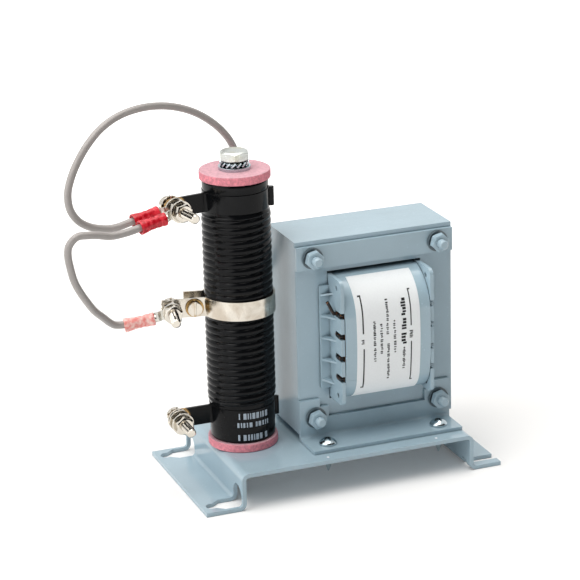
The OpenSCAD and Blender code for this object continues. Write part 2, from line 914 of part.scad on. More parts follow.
// Ends of the windings in the notches, one of them bent up and away from its flange
module winding_ends() {
    length = flange_out - coil_half + wire_show;
    first_y = notch_depth - flange_half_y - notch_w / 2;
    loose_z = pocket_mids[3] - notch_drop;
    loose_run = norm(loose_way);
    color(copper)
        at_coil() {
            for (side = [-1, 1])
                for (z = pocket_mids)
                    for (i = [0:ends_each - 1])
                        translate([side * (coil_half + length / 2), first_y - i * end_pitch, z - notch_drop])
                            rotate([0, 90, 0])
                                cylinder(d = wire_d, h = length, center = true, $fn = 24);
            translate([-flange_out - loose_past, first_y, loose_z]) {
                sphere(d = wire_d, $fn = 24);
                rotate([0, 90, 0])
                    cylinder(d = wire_d, h = loose_past - wire_show, $fn = 24);
                rotate([0, acos(loose_way[2] / loose_run), atan2(loose_way[1], loose_way[0])])
                    cylinder(d = wire_d, h = loose_run, $fn = 24);
            }
        }
}

module solder_tags() {
    rail_top = core_face + bobbin_gap + rail_t;
    color(tinned)
        at_coil()
            for (side = [-1, 1])
                for (z = [pocket_mids[1], pocket_mids[2]])
                    translate([side * tag_x, rail_top, z])
                        difference() {
                            union() {
                                translate([-tag_t / 2, 0, -tag_w / 2])
                                    cube([tag_t, tag_stand, tag_w]);
                                translate([side > 0 ? 0 : -tag_foot, 0, -tag_w / 2])
                                    cube([tag_foot, tag_t, tag_w]);
                            }
                            translate([0, tag_stand - tag_hole_edge, 0])
                                rotate([0, 90, 0])
                                    cylinder(d = tag_hole, h = 2 * tag_foot, center = true);
                        }
}

module clamp_strip() {
    at_core()
        difference() {
            translate([-core_w / 2, -core_face - strip_t, core_h - bolt_inset - strip_h / 2])
                cube([core_w, strip_t, strip_h]);
            bolt_bores(stack_d + 4 * strip_t + 2 * over);
        }
}

// Turns a piece of the front face to the rear face of the core
module on_rear() {
    translate([core_x, core_y, 0])
        rotate([0, 0, 180])
            translate([-core_x, -core_y, 0])
                children();
}

module front_clamp_strip() {
    color(paint)
        clamp_strip();
}

module rear_clamp_strip() {
    color(paint)
        on_rear()
            clamp_strip();
}

// Angle seen along the core's width, with Y drawn to the right and the core's face at zero
module bracket_profile() {
    bend_out = bracket_bend + bracket_t;
    translate([-bracket_reach, 0])
        square([bracket_reach - bend_out, bracket_t]);
    translate([-bend_out, bend_out])
        fold_arc(bracket_bend, bend_out, 270);
    translate([-bracket_t, bend_out])
        square([bracket_t, core_lift + ear_h - bend_out]);
}

module foot_bracket() {
    top = core_lift + ear_h + over;
    difference() {
        translate([core_x - core_w / 2, core_y - core_face, deck_h])
            rotate([90, 0, 90])
                linear_extrude(core_w - bracket_short)
                    bracket_profile();
        at_core() {
            translate([ear_w - core_w / 2, -core_face - bracket_t - over, shoulder_h])
                cube([core_w - 2 * ear_w, bracket_t + 2 * over, top]);
            translate([shoulder_w - core_w / 2, -core_face - bracket_t - over, saddle_h])
                cube([core_w - 2 * shoulder_w, bracket_t + 2 * over, top]);
            translate([core_w / 2 - foot_short, -core_face - bracket_reach - over, -core_lift - over])
                cube([foot_short + over, bracket_reach - bracket_t + over, core_lift + over]);
            bolt_bores(stack_d + 4 * bracket_t + 2 * over);
        }
        at_foot_screws()
            translate([0, 0, -over])
                cylinder(d = screw_hole, h = bracket_t + 2 * over);
    }
}

module front_foot_bracket() {
    color(paint)
        foot_bracket();
}

module rear_foot_bracket() {
    color(paint)
        on_rear()
            foot_bracket();
}

module core_bolts() {
    front = core_face + strip_t + spring_stack + nut_h + bolt_tip;
    rear = core_face + strip_t;
    color(paint)
        at_core()
            at_bolts() {
                rotate([90, 0, 0])
                    translate([0, 0, -rear])
                        cylinder(d = bolt_d, h = front + rear);
                translate([0, rear, 0])
                    rotate([-90, 0, 0])
                        hex_blank(bolt_af, bolt_head_h, false);
            }
}

module core_nuts() {
    color(paint)
        at_core()
            at_bolts()
                translate([0, -core_face - strip_t - spring_stack, 0])
                    rotate([90, 0, 0])
                        rotate([0, 0, nut_turn])
                            hex_nut(bolt_af, bolt_d + thread_gap, nut_h);
}

module spring_washers() {
    color(paint)
        at_core()
            at_bolts()
                translate([0, -core_face - strip_t, 0])
                    rotate([90, spring_turn, 0])
                        intersection() {
                            ring(spring_d, bolt_hole, spring_stack);
                            translate([0, spring_d, spring_bend])
                                rotate([90, 0, 0])
                                    ring(2 * spring_bend, 2 * (spring_bend - spring_t), 2 * spring_d);
                        }
}

module foot_screws() {
    rim_h = 0.8;
    dome_h = screw_head_h - rim_h;
    dome_r = (screw_head_d * screw_head_d / 4 + dome_h * dome_h) / 2 / dome_h;
    recess_turn = 20;
    recess_w = 1;
    recess_l = 3.8;
    recess_h = 1.6;
    point_h = 5;
    point_r = 0.3;
    color(zinc)
        at_foot_screws()
            translate([0, 0, bracket_t])
                difference() {
                    union() {
                        intersection() {
                            cylinder(d = screw_head_d, h = screw_head_h);
                            translate([0, 0, screw_head_h - dome_r])
                                sphere(dome_r);
                        }
                        rotate_extrude()
                            polygon([
                                [0, screw_head_h / 2],
                                [screw_d / 2, screw_head_h / 2],
                                [screw_d / 2, point_h - screw_len],
                                [point_r, -screw_len],
                                [0, -screw_len]
                            ]);
                    }
                    for (turn = [recess_turn, recess_turn + 90])
                        rotate([0, 0, turn])
                            translate([-recess_l / 2, -recess_w / 2, screw_head_h - recess_h])
                                cube([recess_l, recess_w, recess_h + over]);
                }
}

module ceramic_tube() {
    color(ceramic)
        at_resistor()
            translate([0, 0, insul_t])
                ring(tube_d, tube_bore, tube_len);
}

// Enamelled winding: round turns between smooth ends, grooved for the terminal bands
module resistor_winding() {
    inner_r = tube_d / 2 + slip;
    turns_start = (turns_from + turns_to - turn_count * turn_pitch) / 2;
    color(enamel)
        at_resistor()
            rotate_extrude()
                difference() {
                    union() {
                        translate([inner_r, insul_t])
                            square([smooth_d / 2 - inner_r, tube_len]);
                        for (i = [0:turn_count - 1])
                            translate([turn_d / 2 - turn_r, turns_start + (i + 0.5) * turn_pitch])
                                circle(turn_r, $fn = 32);
                    }
                    translate([0, insul_t])
                        square([inner_r, tube_len]);
                    for (height = [lower_z, upper_z])
                        translate([band_r - slip, height - band_w / 2 - slip])
                            square([turn_d, band_w + 2 * slip]);
                }
}

// Split band seen from above, its lugs towards -X: front lug, rear lug and round bends
module split_band(inner_r, gap, front_to, rear_to) {
    outer_r = inner_r + band_t;
    bend_y = gap + band_t + band_bend;
    turn = asin(bend_y / (outer_r + band_bend));
    bend_x = (outer_r + band_bend) * cos(turn);
    far = 2 * outer_r;
    difference() {
        circle(outer_r);
        circle(inner_r);
        polygon([
            [0, 0],
            [-far * cos(turn), 2 * lap - far * sin(turn)],
            [-far * cos(turn), far * sin(turn) - 2 * lap]
        ]);
    }
    for (side = [[0, front_to], [1, rear_to]])
        mirror([0, side[0]]) {
            translate([-bend_x, -bend_y])
                intersection() {
                    difference() {
                        circle(band_bend + band_t);
                        circle(band_bend);
                    }
                    polygon([
                        [0, 0],
                        [far * cos(turn), far * sin(turn)],
                        [far, far],
                        [0, far]
                    ]);
                }
            translate([-side[1], -gap - band_t])
                square([side[1] - bend_x + lap, band_t]);
        }
}

module terminal_band(turn, height, fold) {
    fold_to = band_r + band_t + fold_len - band_fold_r;
    color(enamel)
        at_resistor()
            translate([0, 0, height])
                rotate([0, 0, turn])
                    difference() {
                        union() {
                            linear_extrude(band_w, center = true) {
                                split_band(band_r, 0, ear_hole, ear_hole);
                                rotate(-fold - turn) {
                                    translate([fold_to, 0])
                                        circle(band_fold_r);
                                    translate([band_r + band_t / 2, -band_fold_r])
                                        square([fold_to - band_r - band_t / 2, 2 * band_fold_r]);
                                }
                            }
                            translate([-ear_hole, 0, 0])
                                rotate([90, 0, 0])
                                    cylinder(d = band_w, h = 2 * band_t, center = true);
                        }
                        translate([-ear_hole, 0, 0])
                            rotate([90, 0, 0])
                                cylinder(d = stud_hole, h = 4 * band_t, center = true);
                    }
}

module upper_terminal_band() {
    terminal_band(upper_turn, upper_z, upper_fold);
}

module lower_terminal_band() {
    terminal_band(lower_turn, lower_z, lower_fold);
}

module tap_band() {
    color(nickel)
        at_resistor()
            translate([0, 0, tap_height])
                rotate([0, 0, -tap_turn])
                    difference() {
                        linear_extrude(band_w, center = true)
                            split_band(turn_d / 2 + slip, tap_gap, tap_lug, tap_stub);
                        translate([-clamp_hole, 0, 0])
                            rotate([90, 0, 0])
                                cylinder(d = clamp_bore, h = 4 * tap_gap, center = true);
                        translate([-ear_hole, 0, 0])
                            rotate([90, 0, 0])
                                cylinder(d = stud_hole, h = 4 * tap_gap, center = true);
                    }
}

// Frame of the tap band's clamp screw, Z towards the front
module at_clamp() {
    at_tap()
        translate([clamp_hole - ear_hole, 0, 0])
            children();
}

module clamp_screw() {
    length = clamp_washer_t + 2 * lug_face + clamp_nut_h + clamp_tip;
    color(nickel)
        at_clamp()
            translate([0, 0, lug_face + clamp_washer_t])
                rotate([180, 0, clamp_slot_turn])
                    slotted_screw(clamp_d, length, clamp_head_d, clamp_head_h);
}

module clamp_washer() {
    color(nickel)
        at_clamp()
            translate([0, 0, lug_face])
                ring(clamp_washer_d, clamp_bore, clamp_washer_t);
}

module clamp_nut() {
    color(nickel)
        at_clamp()
            translate([0, 0, -lug_face - clamp_nut_h])
                hex_nut(clamp_af, clamp_d + thread_gap, clamp_nut_h);
}

module terminal_screws() {
    color(nickel) {
        at_upper()
            translate([0, 0, upper_seat])
                slotted_screw(stud_d, upper_stud_len, stud_head_d, stud_head_h);
        at_lower()
            translate([0, 0, ear_seat])
                slotted_screw(stud_d, stud_len, stud_head_d, stud_head_h);
        at_tap()
            translate([0, 0, lug_seat])
                slotted_screw(stud_d, stud_len, stud_head_d, stud_head_h);
    }
}

// One nut at each of the given distances along a terminal screw
module nuts_at(places, turn) {
    for (z = places)
        translate([0, 0, z])
            rotate([0, 0, turn])
                hex_nut(bolt_af, stud_d + thread_gap, nut_h);
}

module terminal_nuts() {
    color(nickel) {
        at_upper()
            nuts_at([upper_nut_a, upper_nut_b], upper_nut_turn);
        at_lower()
            nuts_at([lower_nut_a, lower_nut_b], lower_nut_turn);
        at_tap()
            nuts_at([tap_nut_a, tap_nut_b], tap_nut_turn);
    }
}

// One flat washer at each of the given distances along a terminal screw
module washers_at(places, outer_d) {
    for (z = places)
        translate([0, 0, z])
            ring(outer_d, stud_hole, stud_washer_t);
}

module terminal_washers() {
    color(nickel) {
        at_upper()
            washers_at([upper_rear_washer, upper_washer_a, upper_washer_b], stud_washer_d);
        at_lower()
            washers_at([ear_face, lower_washer_b, lower_washer_c], stud_washer_d);
        at_tap()
            washers_at([lug_face, tap_washer_b], tap_washer_d);
    }
}

module stud_tooth_washer() {
    tooth_ring(stud_hole, stud_washer_d, stud_tooth_h, stud_teeth);
}

module terminal_tooth_washers() {
    color(nickel) {
        at_upper()
            for (z = [upper_seat, ear_seat])
                translate([0, 0, z])
                    stud_tooth_washer();
        at_lower()
            for (z = [ear_seat, lower_tooth_a])
                translate([0, 0, z])
                    stud_tooth_washer();
        at_tap()
            translate([0, 0, lug_seat])
                stud_tooth_washer();
    }
}

// Insulating washer with its spigot upwards
module insulating_washer() {
    difference() {
        union() {
            cylinder(d = insul_d, h = insul_t);
            cylinder(d = tube_bore - spigot_gap, h = insul_t + spigot_h);
        }
        translate([0, 0, -over])
            cylinder(d = rod_hole, h = insul_t + spigot_h + 2 * over);
    }
}

module lower_insulating_washer() {
    color(pink)
        at_resistor()
            insulating_washer();
}

module upper_insulating_washer() {
    color(pink)
        at_resistor()
            translate([0, 0, stack_top])
                rotate([180, 0, 0])
                    insulating_washer();
}

module resistor_bolt() {
    color(zinc)
        at_resistor() {
            translate([0, 0, rod_end])
                cylinder(d = rod_d, h = rod_seat - rod_end + over);
            translate([0, 0, rod_seat])
                rotate([0, 0, rod_turn])
                    hex_blank(rod_af, rod_head_h, false);
        }
}

module resistor_flat_washer() {
    color(zinc)
        at_resistor()
            translate([0, 0, stack_top])
                ring(rod_washer_d, rod_hole, rod_washer_t);
}

module resistor_tooth_washer() {
    color(zinc)
        at_resistor()
            translate([0, 0, stack_top + rod_washer_t])
                tooth_ring(rod_hole, tooth_d, tooth_h, rod_teeth);
}

module resistor_under_washer() {
    color(zinc)
        at_resistor()
            translate([0, 0, -sheet_t - rod_washer_t])
                ring(rod_washer_d, rod_hole, rod_washer_t);
}

module resistor_nut() {
    color(zinc)
        at_resistor()
            translate([0, 0, -sheet_t - rod_washer_t - rod_nut_h])
                hex_nut(rod_af, rod_d + thread_gap, rod_nut_h);
}

// Turns a ring terminal down from the level about its terminal screw
module drooped(angle) {
    rotate([0, 0, angle])
        children();
}

// Ring, stepped neck and crimp barrel: ring on the XY plane, barrel towards +X and offset along Z
module ring_terminal(offset_z) {
    neck_from = ring_d / 2 - ring_t;
    step_from = stud_washer_d / 2 + end_gap;
    step_to = sleeve_start - step_back;
    neck_to = sleeve_start + sleeve_lip;
    step_z = offset_z + (offset_z > 0 ? -barrel_d / 2 : barrel_d / 2 - ring_t);
    difference() {
        union() {
            cylinder(d = ring_d, h = ring_t);
            translate([0, neck_w / 2, 0])
                rotate([90, 0, 0])
                    linear_extrude(neck_w)
                        polygon([
                            [neck_from, 0],
                            [step_from, 0],
                            [step_to, step_z],
                            [neck_to, step_z],
                            [neck_to, step_z + ring_t],
                            [step_to, step_z + ring_t],
                            [step_from, ring_t],
                            [neck_from, ring_t]
                        ]);
            translate([sleeve_start, 0, offset_z])
                rotate([0, 90, 0])
                    cylinder(d = barrel_d, h = barrel_len);
        }
        translate([0, 0, -over])
            cylinder(d = stud_hole, h = ring_t + 2 * over);
    }
}

// Moulded crimp sleeve with a flared mouth, bored for the barrel and the neck
module crimp_sleeve(offset_z) {
    flare_from = sleeve_len * 0.55;
    flare_to = sleeve_len * 0.68;
    translate([sleeve_start, 0, offset_z])
        difference() {
            rotate([0, 90, 0])
                rotate_extrude()
                    polygon([
                        [0, sleeve_lip],
                        [sleeve_d / 2, sleeve_lip],
                        [sleeve_d / 2, flare_from],
                        [sleeve_mouth_d / 2, flare_to],
                        [sleeve_mouth_d / 2, sleeve_len],
                        [0, sleeve_len]
                    ]);
            rotate([0, 90, 0])
                translate([0, 0, -over])
                    cylinder(d = sleeve_bore, h = barrel_len + over + thread_gap);
            translate([-over, -neck_w / 2 - slip, -barrel_d / 2 - slip])
                cube([over + sleeve_lip + thread_gap, neck_w + 2 * slip, barrel_d + 2 * slip]);
        }
}

module long_lead_ring() {
    color(tinned)
        at_upper()
            translate([0, 0, long_ring_at])
                drooped(upper_droop)
                    ring_terminal(long_offset);
}

module short_lead_ring() {
    color(tinned)
        at_upper()
            translate([0, 0, short_ring_at])
                drooped(upper_droop)
                    ring_terminal(short_offset);
}

module tap_lead_ring() {
    color(tinned)
        at_tap()
            translate([0, 0, tap_ring_at])
                drooped(tap_droop)
                    ring_terminal(tap_offset);
}

module long_lead_sleeve() {
    color(sleeve_red)
        at_upper()
            translate([0, 0, long_ring_at])
                drooped(upper_droop)
                    crimp_sleeve(long_offset);
}

module short_lead_sleeve() {
    color(sleeve_red)
        at_upper()
            translate([0, 0, short_ring_at])
                drooped(upper_droop)
                    crimp_sleeve(short_offset);
}

module tap_lead_sleeve() {
    color(faded_red)
        at_tap()
            translate([0, 0, tap_ring_at])
                drooped(tap_droop)
                    crimp_sleeve(tap_offset);
}

// Direction of a route at point i, along the chord of its neighbours
function route_way(route, i) =
    let (a = route[max(i - 1, 0)], b = route[min(i + 1, len(route) - 1)])
    (b - a) / norm(b - a);

// Ring of points around point i of a route
function route_ring(route, i, r) =
    let (
        way = route_way(route, i),
        side = cross(way, [0, 1, 0]) / norm(cross(way, [0, 1, 0])),
        rise = cross(side, way)
    )
    [for (k = [0:lead_sides - 1])
        route[i] + r * (cos(k * 360 / lead_sides) * side + sin(k * 360 / lead_sides) * rise)];

// Round tube swept along a route
module swept_lead(route) {
    rings = len(route);
    points = [for (i = [0:rings - 1]) each route_ring(route, i, lead_d / 2)];
    walls = [for (i = [0:rings - 2])
        for (k = [0:lead_sides - 1])
            let (next = (k + 1) % lead_sides)
            [
                i * lead_sides + k,
                i * lead_sides + next,
                (i + 1) * lead_sides + next,
                (i + 1) * lead_sides + k
            ]];
    first = [for (k = [0:lead_sides - 1]) lead_sides - 1 - k];
    last = [for (k = [0:lead_sides - 1]) (rings - 1) * lead_sides + k];
    polyhedron(points, concat([first], walls, [last]));
}

module long_lead() {
    color(lead_grey)
        swept_lead(long_route);
}

module short_lead() {
    color(lead_grey)
        swept_lead(short_route);
}

base_plate();
core_e_stack();
core_i_stack();
bobbin();
primary_winding();
secondary_winding();
winding_wrap();
label();
winding_ends();
solder_tags();
front_clamp_strip();
rear_clamp_strip();
front_foot_bracket();
rear_foot_bracket();
core_bolts();
core_nuts();
spring_washers();
foot_screws();
ceramic_tube();
resistor_winding();
upper_terminal_band();
lower_terminal_band();
tap_band();
clamp_screw();
clamp_washer();
clamp_nut();
terminal_screws();
terminal_nuts();
terminal_washers();
terminal_tooth_washers();
lower_insulating_washer();
upper_insulating_washer();
resistor_bolt();
resistor_flat_washer();
resistor_tooth_washer();
resistor_under_washer();
resistor_nut();
long_lead_ring();
short_lead_ring();
tap_lead_ring();
long_lead_sleeve();
short_lead_sleeve();
tap_lead_sleeve();
long_lead();
short_lead();
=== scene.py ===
import random
from collections import namedtuple
from functools import cache
from math import asin, ceil, cos, floor, pi, radians, sin, sqrt, tan

import bmesh
import bpy
from mathutils import Matrix, Vector
from mathutils.geometry import interpolate_bezier


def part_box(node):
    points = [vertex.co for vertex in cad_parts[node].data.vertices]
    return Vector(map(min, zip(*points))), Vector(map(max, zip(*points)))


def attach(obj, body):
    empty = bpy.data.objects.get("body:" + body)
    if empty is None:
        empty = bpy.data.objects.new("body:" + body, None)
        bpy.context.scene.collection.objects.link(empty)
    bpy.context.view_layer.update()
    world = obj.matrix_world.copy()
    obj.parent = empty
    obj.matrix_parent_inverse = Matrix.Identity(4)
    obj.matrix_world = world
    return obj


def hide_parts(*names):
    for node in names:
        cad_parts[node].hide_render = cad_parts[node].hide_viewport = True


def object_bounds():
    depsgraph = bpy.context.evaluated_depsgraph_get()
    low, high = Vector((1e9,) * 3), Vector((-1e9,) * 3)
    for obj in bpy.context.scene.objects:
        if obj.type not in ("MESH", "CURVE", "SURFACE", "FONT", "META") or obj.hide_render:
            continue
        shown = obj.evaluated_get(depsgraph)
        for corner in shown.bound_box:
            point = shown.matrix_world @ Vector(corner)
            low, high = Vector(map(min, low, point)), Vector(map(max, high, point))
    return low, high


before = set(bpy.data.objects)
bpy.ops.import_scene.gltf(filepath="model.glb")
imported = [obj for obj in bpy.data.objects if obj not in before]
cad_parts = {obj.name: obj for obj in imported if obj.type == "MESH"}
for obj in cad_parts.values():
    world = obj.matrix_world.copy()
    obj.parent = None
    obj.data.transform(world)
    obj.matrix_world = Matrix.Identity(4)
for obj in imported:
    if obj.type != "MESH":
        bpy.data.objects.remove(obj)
cad_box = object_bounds()

bl_info = {
    "name": "Transformer with a tapped resistor",
    "version": (1, 0, 0),
    "blender": (4, 5, 0),
    "location": "View3D > Sidebar > Transformer",
    "description": "Dresses the solids of a small transformer and its tapped tubular resistor",
    "category": "Object",
}

MM = 0.001


def middle(name):
    """Middle of a solid's box, in millimetres."""
    return [(low + high) / 2 / MM for low, high in zip(*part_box(name))]


# The resistor's axis
AXIS_X, AXIS_Y = middle("ceramic_tube")[:2]
# Terminal screws: the band that carries each, and the turn of its ears about that axis in degrees
TERMINALS = {
    "upper": ("upper_terminal_band", 9),
    "lower": ("lower_terminal_band", 0),
    "tap": ("tap_band", -12),
}
# Distance of a terminal screw from the resistor's axis
EAR_HOLE = 28.5

# A crimp sleeve: its terminal, distance along that screw, offset from the ring, droop in degrees,
# distance from the screw, and length
Sleeve = namedtuple("Sleeve", "terminal along offset droop start long")
SLEEVES = {
    "long_lead_sleeve": Sleeve("upper", 0.8, -1.8, 9, 5.6, 12.4),
    "short_lead_sleeve": Sleeve("upper", 5.6, 2.4, 9, 7, 12.4),
    "tap_lead_sleeve": Sleeve("tap", 9.0, 2.4, 9, 7, 13.4),
}
# Length of lead inside a sleeve
LEAD_IN = 2.6

# Points of the leads after their upper sleeves, to a solder tag and to the tap's sleeve
LONG_ROUTE = [
    (-91, -8.4, 118.6), (-97, -9.1, 119.4), (-101.8, -9.5, 121.1), (-106, -9.8, 124.2),
    (-108.8, -9.6, 129), (-109.1, -8.7, 135), (-107, -7.1, 140.8), (-103.4, -5.2, 146.6),
    (-98.4, -3.2, 152.5), (-91.7, -0.3, 157.6), (-83.4, 2.9, 160.9), (-73.9, 5.8, 162.2),
    (-64.5, 8.8, 161.5), (-55.6, 11.9, 159.1), (-47.3, 14.5, 155.3), (-40.5, 16, 150.6),
    (-35.3, 16.8, 145.6), (-31.7, 17.1, 140.4), (-29.1, 17.5, 133.7), (-27.3, 18, 126),
    (-26, 18.4, 118), (-25, 18.8, 110), (-23.8, 19.4, 102), (-22.2, 20.4, 94), (-19.8, 22, 86.5),
    (-16.8, 24, 79.5), (-13, 25.2, 73), (-9, 25.4, 67.6), (-4.1, 25, 66),
]
SHORT_ROUTE = [
    (-89, -17, 118.7), (-95.4, -17.8, 118.5), (-100.5, -18.6, 119.8), (-105, -19.2, 120.5),
    (-109, -19.5, 120.6), (-111.5, -19.6, 119), (-113, -19.3, 116.4), (-113.2, -18.9, 112.8),
    (-112.3, -17.9, 107.9), (-110.5, -16, 101.6), (-107.7, -13.6, 95.9), (-104.2, -10.6, 90.3),
    (-100.4, -7.4, 84.9), (-96, -4.6, 80.4), (-93, -2.9, 77.4), (-90.2, -1.8, 75.6),
]


def linear(code):
    """Turns an sRGB hex colour into the linear values that Blender works in."""
    parts = [int(code[i:i + 2], 16) / 255 for i in (1, 3, 5)]
    return tuple(p / 12.92 if p <= 0.04045 else ((p + 0.055) / 1.055) ** 2.4 for p in parts)


def colour(label, about, code):
    """A colour that the panel shows."""
    return bpy.props.FloatVectorProperty(
        name=label, description=about, default=linear(code), subtype="COLOR", size=3, min=0, max=1)


def length(label, about, size_mm):
    """A length that the panel shows, given in millimetres."""
    return bpy.props.FloatProperty(
        name=label, description=about, default=size_mm * MM, unit="LENGTH", precision=5, min=0)


class TransformerSizes(bpy.types.PropertyGroup):
    """Sizes of the pieces that the scene adds to the solids"""
    lead_d: length("Lead", "Diameter of a lead", 3.1)
    turn_pitch: length("Turn pitch", "Distance between two turns of the resistor", 2.9)
    turn_crest: length("Turn crest", "Radius over the resistor's turns", 14.3)
    turn_valley: length("Turn valley", "Radius between the resistor's turns", 13.62)
    turn_back: length("Turn back", "Radius of one turn's rounded back", 1.9)
    enamel_r: length("Enamel", "Radius of the resistor's smooth ends", 13.6)
    thread_pitch: length("Thread pitch", "Distance between two threads of a terminal screw", 0.7)
    thread_depth: length("Thread depth", "Depth of a terminal screw's thread", 0.4)
    plate_t: length("Plate", "Thickness of one lamination of the core", 0.5)
    plate_stray: length("Plate stray", "Most that a lamination stands out of the stack", 0.03)
    ink_t: length("Ink", "Height of the printed marks", 0.03)
    edge: length("Edge", "Width of the broken edge on the folded sheet", 0.4)


class TransformerColours(bpy.types.PropertyGroup):
    """Colours of the finishes"""
    paint: colour("Paint", "Blue-grey enamel over the transformer and the base", "#A3BAC6")
    # The paper colour also gives the two small white spots on the deck.
    paper: colour("Paper", "Label on the coil, and primer under the paint", "#F2F6F8")
    ink: colour("Ink", "Marks on the label", "#17171A")
    copper: colour("Copper", "Windings, and their ends where they are bare", "#8A5226")
    tinned: colour("Tinned brass", "Ring terminals, solder tags and solder", "#D2D0C8")
    varnish: colour("Varnish", "Soaked ends of the windings", "#231A14")
    zinc: colour("Passivated zinc plating", "Long bolt of the resistor and its nut", "#C6CAC6")
    blue_zinc: colour("Blue zinc plating", "Foot screws and the washers of the resistor bolt", "#B9C6CB")
    nickel: colour("Nickel", "Tap band with its screw, and terminal hardware", "#D6D0C5")
    tarnish: colour("Tarnish", "Brownish stain on the tap band", "#8C7350")
    bared: colour("Bared brass", "Worn places of the clamp screw and its nut", "#B08F55")
    yellow: colour("Yellow passivation", "Stain on the long bolt and its nut", "#C2BE9C")
    brass: colour("Brass", "Clamp washer, and bare metal of the terminal bands", "#A98A5A")
    enamel: colour("Black enamel", "Resistor and its terminal bands", "#0D0E10")
    stamp: colour("Stamp", "Pale marks on the resistor", "#A3AFBB")
    fibre: colour("Pink fibre", "Insulating washers", "#EB929F")
    # A paler pink painted on the faces that look up, as painted light from above
    fibre_lit_top: colour("Chalky fibre", "Dusty faces of the insulating washers", "#D3A5AF")
    # A pale red painted in streaks over the sleeves, as painted highlight
    sleeve: colour("Red vinyl", "Crimp sleeves of the upper terminal", "#B81222")
    sleeve_highlight: colour("Red vinyl, thin", "Stretched places of those sleeves", "#E83A48")
    faded: colour("Faded vinyl", "Crimp sleeve of the tap", "#EE8C86")
    # A pale pink painted in streaks over the tap's sleeve, as painted highlight
    faded_highlight: colour("Faded vinyl, thin", "Stretched places of that sleeve", "#FBD8D0")
    lead: colour("Lead", "Insulation of the leads", "#A39E9B")
    ceramic: colour("Ceramic", "Tube of the resistor", "#DED6C6")
    floor: colour("Floor", "Studio floor", "#F4F4F4")
    felt: colour("Felt", "Dark end of the studio", "#2A2A2A")


def sizes():
    """Sizes of the added pieces, in millimetres."""
    group = bpy.context.scene.transformer_sizes
    return {key: getattr(group, key) / MM for key in TransformerSizes.__annotations__}


def shade(name, strength=1.0):
    """One of the panel's colours, made lighter or darker, with the fourth value that a socket takes."""
    base = getattr(bpy.context.scene.transformer_colours, name)
    return (*(min(1, value * strength) for value in base), 1)


def node(tree, kind, values=(), links=(), **settings):
    """Adds a shader node with its settings, the values of its sockets and the links into them."""
    made = tree.nodes.new("ShaderNode" + kind)
    for key, value in settings.items():
        setattr(made, key, value)
    for socket, value in dict(values).items():
        made.inputs[socket].default_value = value
    for socket, source in dict(links).items():
        tree.links.new(source, made.inputs[socket])
    return made


def blank(name):
    """A new material's node tree with nothing in it, and its object coordinates."""
    material = bpy.data.materials.new(name)
    material.use_nodes = True
    material.node_tree.nodes.clear()
    return material, material.node_tree, node(material.node_tree, "TexCoord").outputs["Object"]


def close(tree, values, links):
    """Ends a material with its shader."""
    shader = node(tree, "BsdfPrincipled", values, links)
    node(tree, "OutputMaterial", links={"Surface": shader.outputs["BSDF"]})


def per_mm(size):
    """Scale of a texture whose features are this many millimetres across."""
    return 1 / (size * MM)


@cache
def sprayed_enamel(over, peel_mm=1.1, tone=1.0):
    """Blue-grey machine enamel, sprayed over the finished transformer."""
    # An even glossy skin: cloudy by a few per cent, with a faint orange peel, with specks of dust that are
    #     # drawn coarse enough to show, and with painted shade that darkens corners, creases and the joints
    #     between pieces.
    material, tree, place = blank("enamel_sprayed_on_" + over)
    cloud = node(tree, "TexNoise", {"Scale": per_mm(18), "Detail": 5}, {"Vector": place}).outputs["Fac"]
    dust = node(tree, "TexNoise", {"Scale": per_mm(0.9), "Detail": 2}, {"Vector": place}).outputs["Fac"]
    speck = node(tree, "MapRange", {"From Min": 0.68, "From Max": 0.8}, {"Value": dust})
    skin = node(tree, "Mix", {6: shade("paint", 0.9 * tone), 7: shade("paint", 1.1 * tone)},
                {0: cloud}, data_type="RGBA").outputs[2]
    dusty = node(tree, "Mix", {7: shade("paint", 1.35 * tone)},
                 {0: speck.outputs["Result"], 6: skin}, data_type="RGBA").outputs[2]
    gloss = node(tree, "MapRange", {"From Min": 0.3, "From Max": 0.7, "To Min": 0.07, "To Max": 0.15},
                 {"Value": cloud}).outputs["Result"]
    peel = node(tree, "TexNoise", {"Scale": per_mm(peel_mm), "Detail": 1}, {"Vector": place})
    bump = node(tree, "Bump", {"Strength": 0.1, "Distance": 0.05 * MM},
                {"Height": peel.outputs["Fac"]}).outputs["Normal"]
    # Painted shade: near other surfaces the colour goes towards a third of the paint, as shade in creases.
    corner = node(tree, "AmbientOcclusion", {"Distance": 2.4 * MM}, samples=6).outputs["AO"]
    unshaded_share = node(tree, "MapRange", {"From Min": 0.3, "From Max": 0.62}, {"Value": corner}).outputs["Result"]
    crease_shaded = node(tree, "Mix", {6: shade("paint", 0.3 * tone)}, {0: unshaded_share, 7: dusty},
                 data_type="RGBA").outputs[2]
    close(tree, {"IOR": 1.5}, {"Base Color": crease_shaded, "Roughness": gloss, "Normal": bump})
    return material


@cache
def label_paper():
    """Uncoated white paper, printed and glued to the coil."""
    # A bright matt white; its soft fibre, drawn coarse enough to show, gives a slight unevenness.
    material, tree, place = blank("paper_uncoated")
    fibre = node(tree, "TexNoise", {"Scale": per_mm(0.7), "Detail": 4}, {"Vector": place}).outputs["Fac"]
    tone = node(tree, "Mix", {6: shade("paper", 0.95), 7: shade("paper", 1.04)},
                {0: fibre}, data_type="RGBA").outputs[2]
    bump = node(tree, "Bump", {"Strength": 0.1, "Distance": 0.03 * MM}, {"Height": fibre}).outputs["Normal"]
    close(tree, {"IOR": 1.5, "Roughness": 0.62}, {"Base Color": tone, "Normal": bump})
    return material


@cache
def matt_coat(name, key, wear):
    """Matt ink that was pressed on, or the matt white of two small spots on the deck."""
    # Solid marks with thin spots, drawn coarse enough to show, where the surface below took less.
    material, tree, place = blank(name)
    patch = node(tree, "TexNoise", {"Scale": per_mm(0.5), "Detail": 3}, {"Vector": place}).outputs["Fac"]
    tone = node(tree, "Mix", {6: shade(key, 1 - wear), 7: shade(key, 1 + wear)},
                {0: patch}, data_type="RGBA").outputs[2]
    close(tree, {"IOR": 1.48, "Roughness": 0.6}, {"Base Color": tone})
    return material


